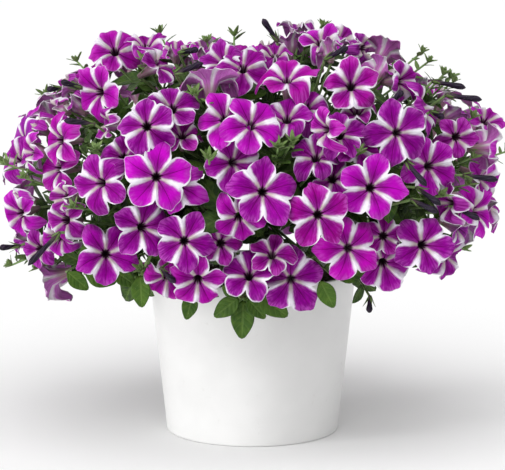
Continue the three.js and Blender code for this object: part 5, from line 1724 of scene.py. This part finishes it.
def turned_shape(rows, around):
    """Rings of a turned shape between a point on the axis below and one above, and its faces."""
    points = [[[0, 0, rows[0][1]]]]
    points += [ring_points(circle(around), radius, height) for radius, height in rows]
    points.append([[0, 0, rows[-1][1]]])
    return np.concatenate(points), rod_faces(len(rows), around)


patch = Patch()
patch.add(*turned_shape(outline, POT_POINTS), 0)
planter = write_piece("planter", patch, [pot_white], ())
print("rings of the pot", len(outline))

# %% Drainage holes
DRAINS, DRAIN_RADIUS, DRAIN_RING, DRAIN_POINTS = 6, 4.5, 46, 24
patch = Patch()
for i in range(DRAINS):
    turn = 2 * math.pi * i / DRAINS
    middle = np.array([math.cos(turn), math.sin(turn), 0]) * DRAIN_RING
    points, faces = turned_shape([(DRAIN_RADIUS, -4), (DRAIN_RADIUS, 9)], DRAIN_POINTS)
    patch.add(points + middle, faces, 0)
drills = write_piece("drills", patch, [], ())
cutter = planter.modifiers.new("drain_holes", "BOOLEAN")
cutter.object = drills
cutter.solver = "EXACT"
depsgraph = bpy.context.evaluated_depsgraph_get()
drilled = bpy.data.meshes.new_from_object(planter.evaluated_get(depsgraph), depsgraph=depsgraph)
planter.modifiers.clear()
planter.data = drilled
put_away(drills)
for polygon in drilled.polygons:
    polygon.use_smooth = abs(polygon.normal.z) < 0.9
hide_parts("pot")
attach(planter, "root")
print("pot faces", len(drilled.polygons))

# %% [markdown]
# ## Potting soil
# The soil is a low crown of crumbs with a few grains of white perlite, which would be seen only
# between stems. The crown is a turned shape with a rough top, and a tree scatters crumbs on it.

# %% Soil with a rough top
from mathutils import noise as rough

SOIL_CROWN = 6
SOIL_FOOT = 4.3
SOIL_POINTS = 96
CROWN_RINGS = 18
wall_low = POT_FOOT_RADIUS + taper * SOIL_FOOT - POT_WALL - 1.0
wall_top = POT_FOOT_RADIUS + taper * SOIL_TOP - POT_WALL - 0.9
walls = [(wall_low, SOIL_FOOT), (0.5 * (wall_low + wall_top), 71), (wall_top, SOIL_TOP)]
crown = [
    (wall_top * (1 - t), SOIL_TOP + SOIL_CROWN * math.sin(t * math.pi / 2) ** 0.7)
    for t in np.linspace(0.05, 0.97, CROWN_RINGS)
]
points, faces = turned_shape(walls + crown, SOIL_POINTS)
for point in points[1 + len(walls) * SOIL_POINTS:]:
    bump = rough.noise(Vector(point * 0.16)) + 0.5 * rough.noise(Vector(point * 0.5))
    point[2] += 0.9 * bump
patch = Patch()
patch.add(points, faces, 0)
soil = write_piece("potting_soil", patch, [soil_dark], ())
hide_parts("soil")
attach(soil, "root")
print("soil faces", len(soil.data.polygons))

# %% The tree that scatters grains
scatter, given, result = new_modifier_tree("grains_on_top", [
    ("Grain", "Object"), ("Density", "Float"), ("Smallest", "Float"), ("Largest", "Float"),
    ("Seed", "Int"), ("Finish", "Material"),
])
seed = given["Seed"]
upward = parts_of(node(scatter, "GeometryNodeInputNormal")[0])["Z"]
on_top = node(scatter, "FunctionNodeCompare", {0: upward, 1: 0.6})[0]
dots = node(scatter, "GeometryNodeDistributePointsOnFaces", {
    "Mesh": given["Geometry"], "Selection": on_top, "Density": given["Density"], "Seed": seed,
})
spin = turn_about(dots["Rotation"], (0, 0, 1), chance(0.0, 6.28, seed))
spin = turn_about(spin, (1, 0, 0), chance(-0.5, 0.5, seed))
placed = node(scatter, "GeometryNodeInstanceOnPoints", {
    "Points": dots["Points"], "Rotation": spin,
    "Instance": node(scatter, "GeometryNodeObjectInfo", {"Object": given["Grain"]})["Geometry"],
    "Scale": chance(given["Smallest"], given["Largest"], seed),
})[0]
end_tree(placed, given["Finish"], result)
print("grain tree nodes", len(scatter.nodes))


# %% Crumbs and perlite
def lump(name, seed, around=5):
    """An uneven grain about two millimetres across, of a few flat faces."""
    draw = draws_from(seed)
    points, faces = turned_shape([(0.8, -0.45), (1.05, 0.1), (0.7, 0.6)], around)
    points *= [1, 0.8, 0.8]
    points *= np.array([0.75 + 0.5 * draw() for _ in points])[:, None]
    points[0, 2] -= 0.3
    points[-1, 2] += 0.3
    return pattern_object(name, points, faces)


for title, seed, density, small, large, finish in (
    ("soil_crumbs", 61, 34000, 0.7, 2.2, soil_dark), ("perlite", 62, 2600, 0.8, 1.9, perlite_white),
):
    grain_pattern = lump("grain_pattern", seed)
    grains = grow(soil, scatter, title, {
        "Grain": grain_pattern, "Density": density, "Smallest": small, "Largest": large,
        "Seed": seed, "Finish": finish,
    })
    put_away(grain_pattern)
    grains.data.shade_flat()
    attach(grains, "root")
    print(title, len(grains.data.polygons))

# %% [markdown]
# ## Hairs
# Stems, sepals and young leaves are covered with short soft hairs, which give the green its
# silvery edge. The same scattering rule sets them, with a thin spike in place of a grain.

# %% The tree that sets hairs
hairing, given, result = new_modifier_tree("hairs_on_stems", [
    ("Hair", "Object"), ("Density", "Float"), ("Seed", "Int"), ("Finish", "Material"),
])
seed = given["Seed"]
dots = node(hairing, "GeometryNodeDistributePointsOnFaces", {
    "Mesh": given["Geometry"], "Density": given["Density"], "Seed": seed,
})
placed = node(hairing, "GeometryNodeInstanceOnPoints", {
    "Points": dots["Points"], "Scale": chance(0.6, 1.4, seed),
    "Instance": node(hairing, "GeometryNodeObjectInfo", {"Object": given["Hair"]})["Geometry"],
    "Rotation": turn_about(dots["Rotation"], (1, 0, 0), chance(-0.5, 0.5, seed)),
})[0]
end_tree(placed, given["Finish"], result)
print("hair tree nodes", len(hairing.nodes))

# %% Hairs on the green pieces
HAIR_DENSITY = 30000.0
hair_pale, tree, shader = new_material("hair_pale", (190, 200, 170))
soft = grouped(tree, blotches, {"Size": 8.0})
tint = blend(soft["Blotch"], colour(176, 190, 148), colour(206, 212, 188))
finish_with(shader, tint, 0.5)
spike = [[0.05, 0, -0.1], [-0.025, 0.043, -0.1], [-0.025, -0.043, -0.1], [0.1, 0, 1.1]]
spike_faces = [(0, 2, 1), (0, 1, 3), (1, 2, 3), (2, 0, 3)]
hair_pattern = pattern_object("hair_pattern", spike, spike_faces)
hair_count = 0
for number in green_patches:
    stem_piece = bpy.data.objects[f"leafy_{number:02d}"]
    hairs = grow(stem_piece, hairing, f"hairs_{number:02d}", {
        "Hair": hair_pattern, "Density": HAIR_DENSITY, "Seed": number, "Finish": hair_pale,
    })
    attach(hairs, "root")
    hair_count += len(hairs.data.polygons) // len(spike_faces)
put_away(hair_pattern)
print("hairs", hair_count)

# %% [markdown]
# ## Floor, light and the end
# A wide pale floor, a pale sky and two very soft lamps at the left give the even light of a
# product picture. The high lamp lights the flowers and the floor. The low one reaches in under
# the plant, so the pot is bright on its left and grey on its right. The standard view keeps the
# petals' colours as they are.

# %% Floor
FLOOR_REACH = 30
corners = [(-1, -1), (1, -1), (1, 1), (-1, 1)]
floor_mesh = bpy.data.meshes.new("floor")
floor_points = [(x * FLOOR_REACH, y * FLOOR_REACH, 0) for x, y in corners]
floor_mesh.from_pydata(floor_points, [], [(0, 1, 2, 3)])
floor = put_in_scene("floor", floor_mesh)
floor_white, tree, shader = new_material("floor_white", (250, 250, 250))
soft = grouped(tree, blotches, {"Size": 900.0})
tint = blend(soft["Blotch"], colour(252, 252, 252), colour(250, 250, 250))
finish_with(shader, tint, 0.9, constants={"Specular IOR Level": 0.1})
floor_mesh.materials.append(floor_white)
print("floor", 2 * FLOOR_REACH, "metres wide")

# %% World and lamps
# Each lamp has the way that its light goes, its spread in degrees and its strength.
SKY_STRENGTH = 0.5
LAMPS = {
    "high_soft": ((0.05, 0.52, -0.84), 60, 1.85),
    "low_soft": ((0.9, 0.42, -0.12), 24, 1.65),
}
world = bpy.data.worlds.new("studio")
world.use_nodes = True
fill(world.node_tree.nodes["Background"].inputs, {"Color": (1, 1, 1, 1), "Strength": SKY_STRENGTH})
bpy.context.scene.world = world
for title, (way, spread, power) in LAMPS.items():
    lamp_data = bpy.data.lights.new(title, "SUN")
    lamp_data.angle = math.radians(spread)
    lamp_data.energy = power
    lamp = put_in_scene(title, lamp_data)
    lamp.rotation_euler = Vector(way).to_track_quat("-Z", "Y").to_euler()
bpy.context.scene.view_settings.view_transform = "Standard"
print("lamps", [light.name for light in bpy.data.lights])

# %% The finished scene
bpy.context.view_layer.update()
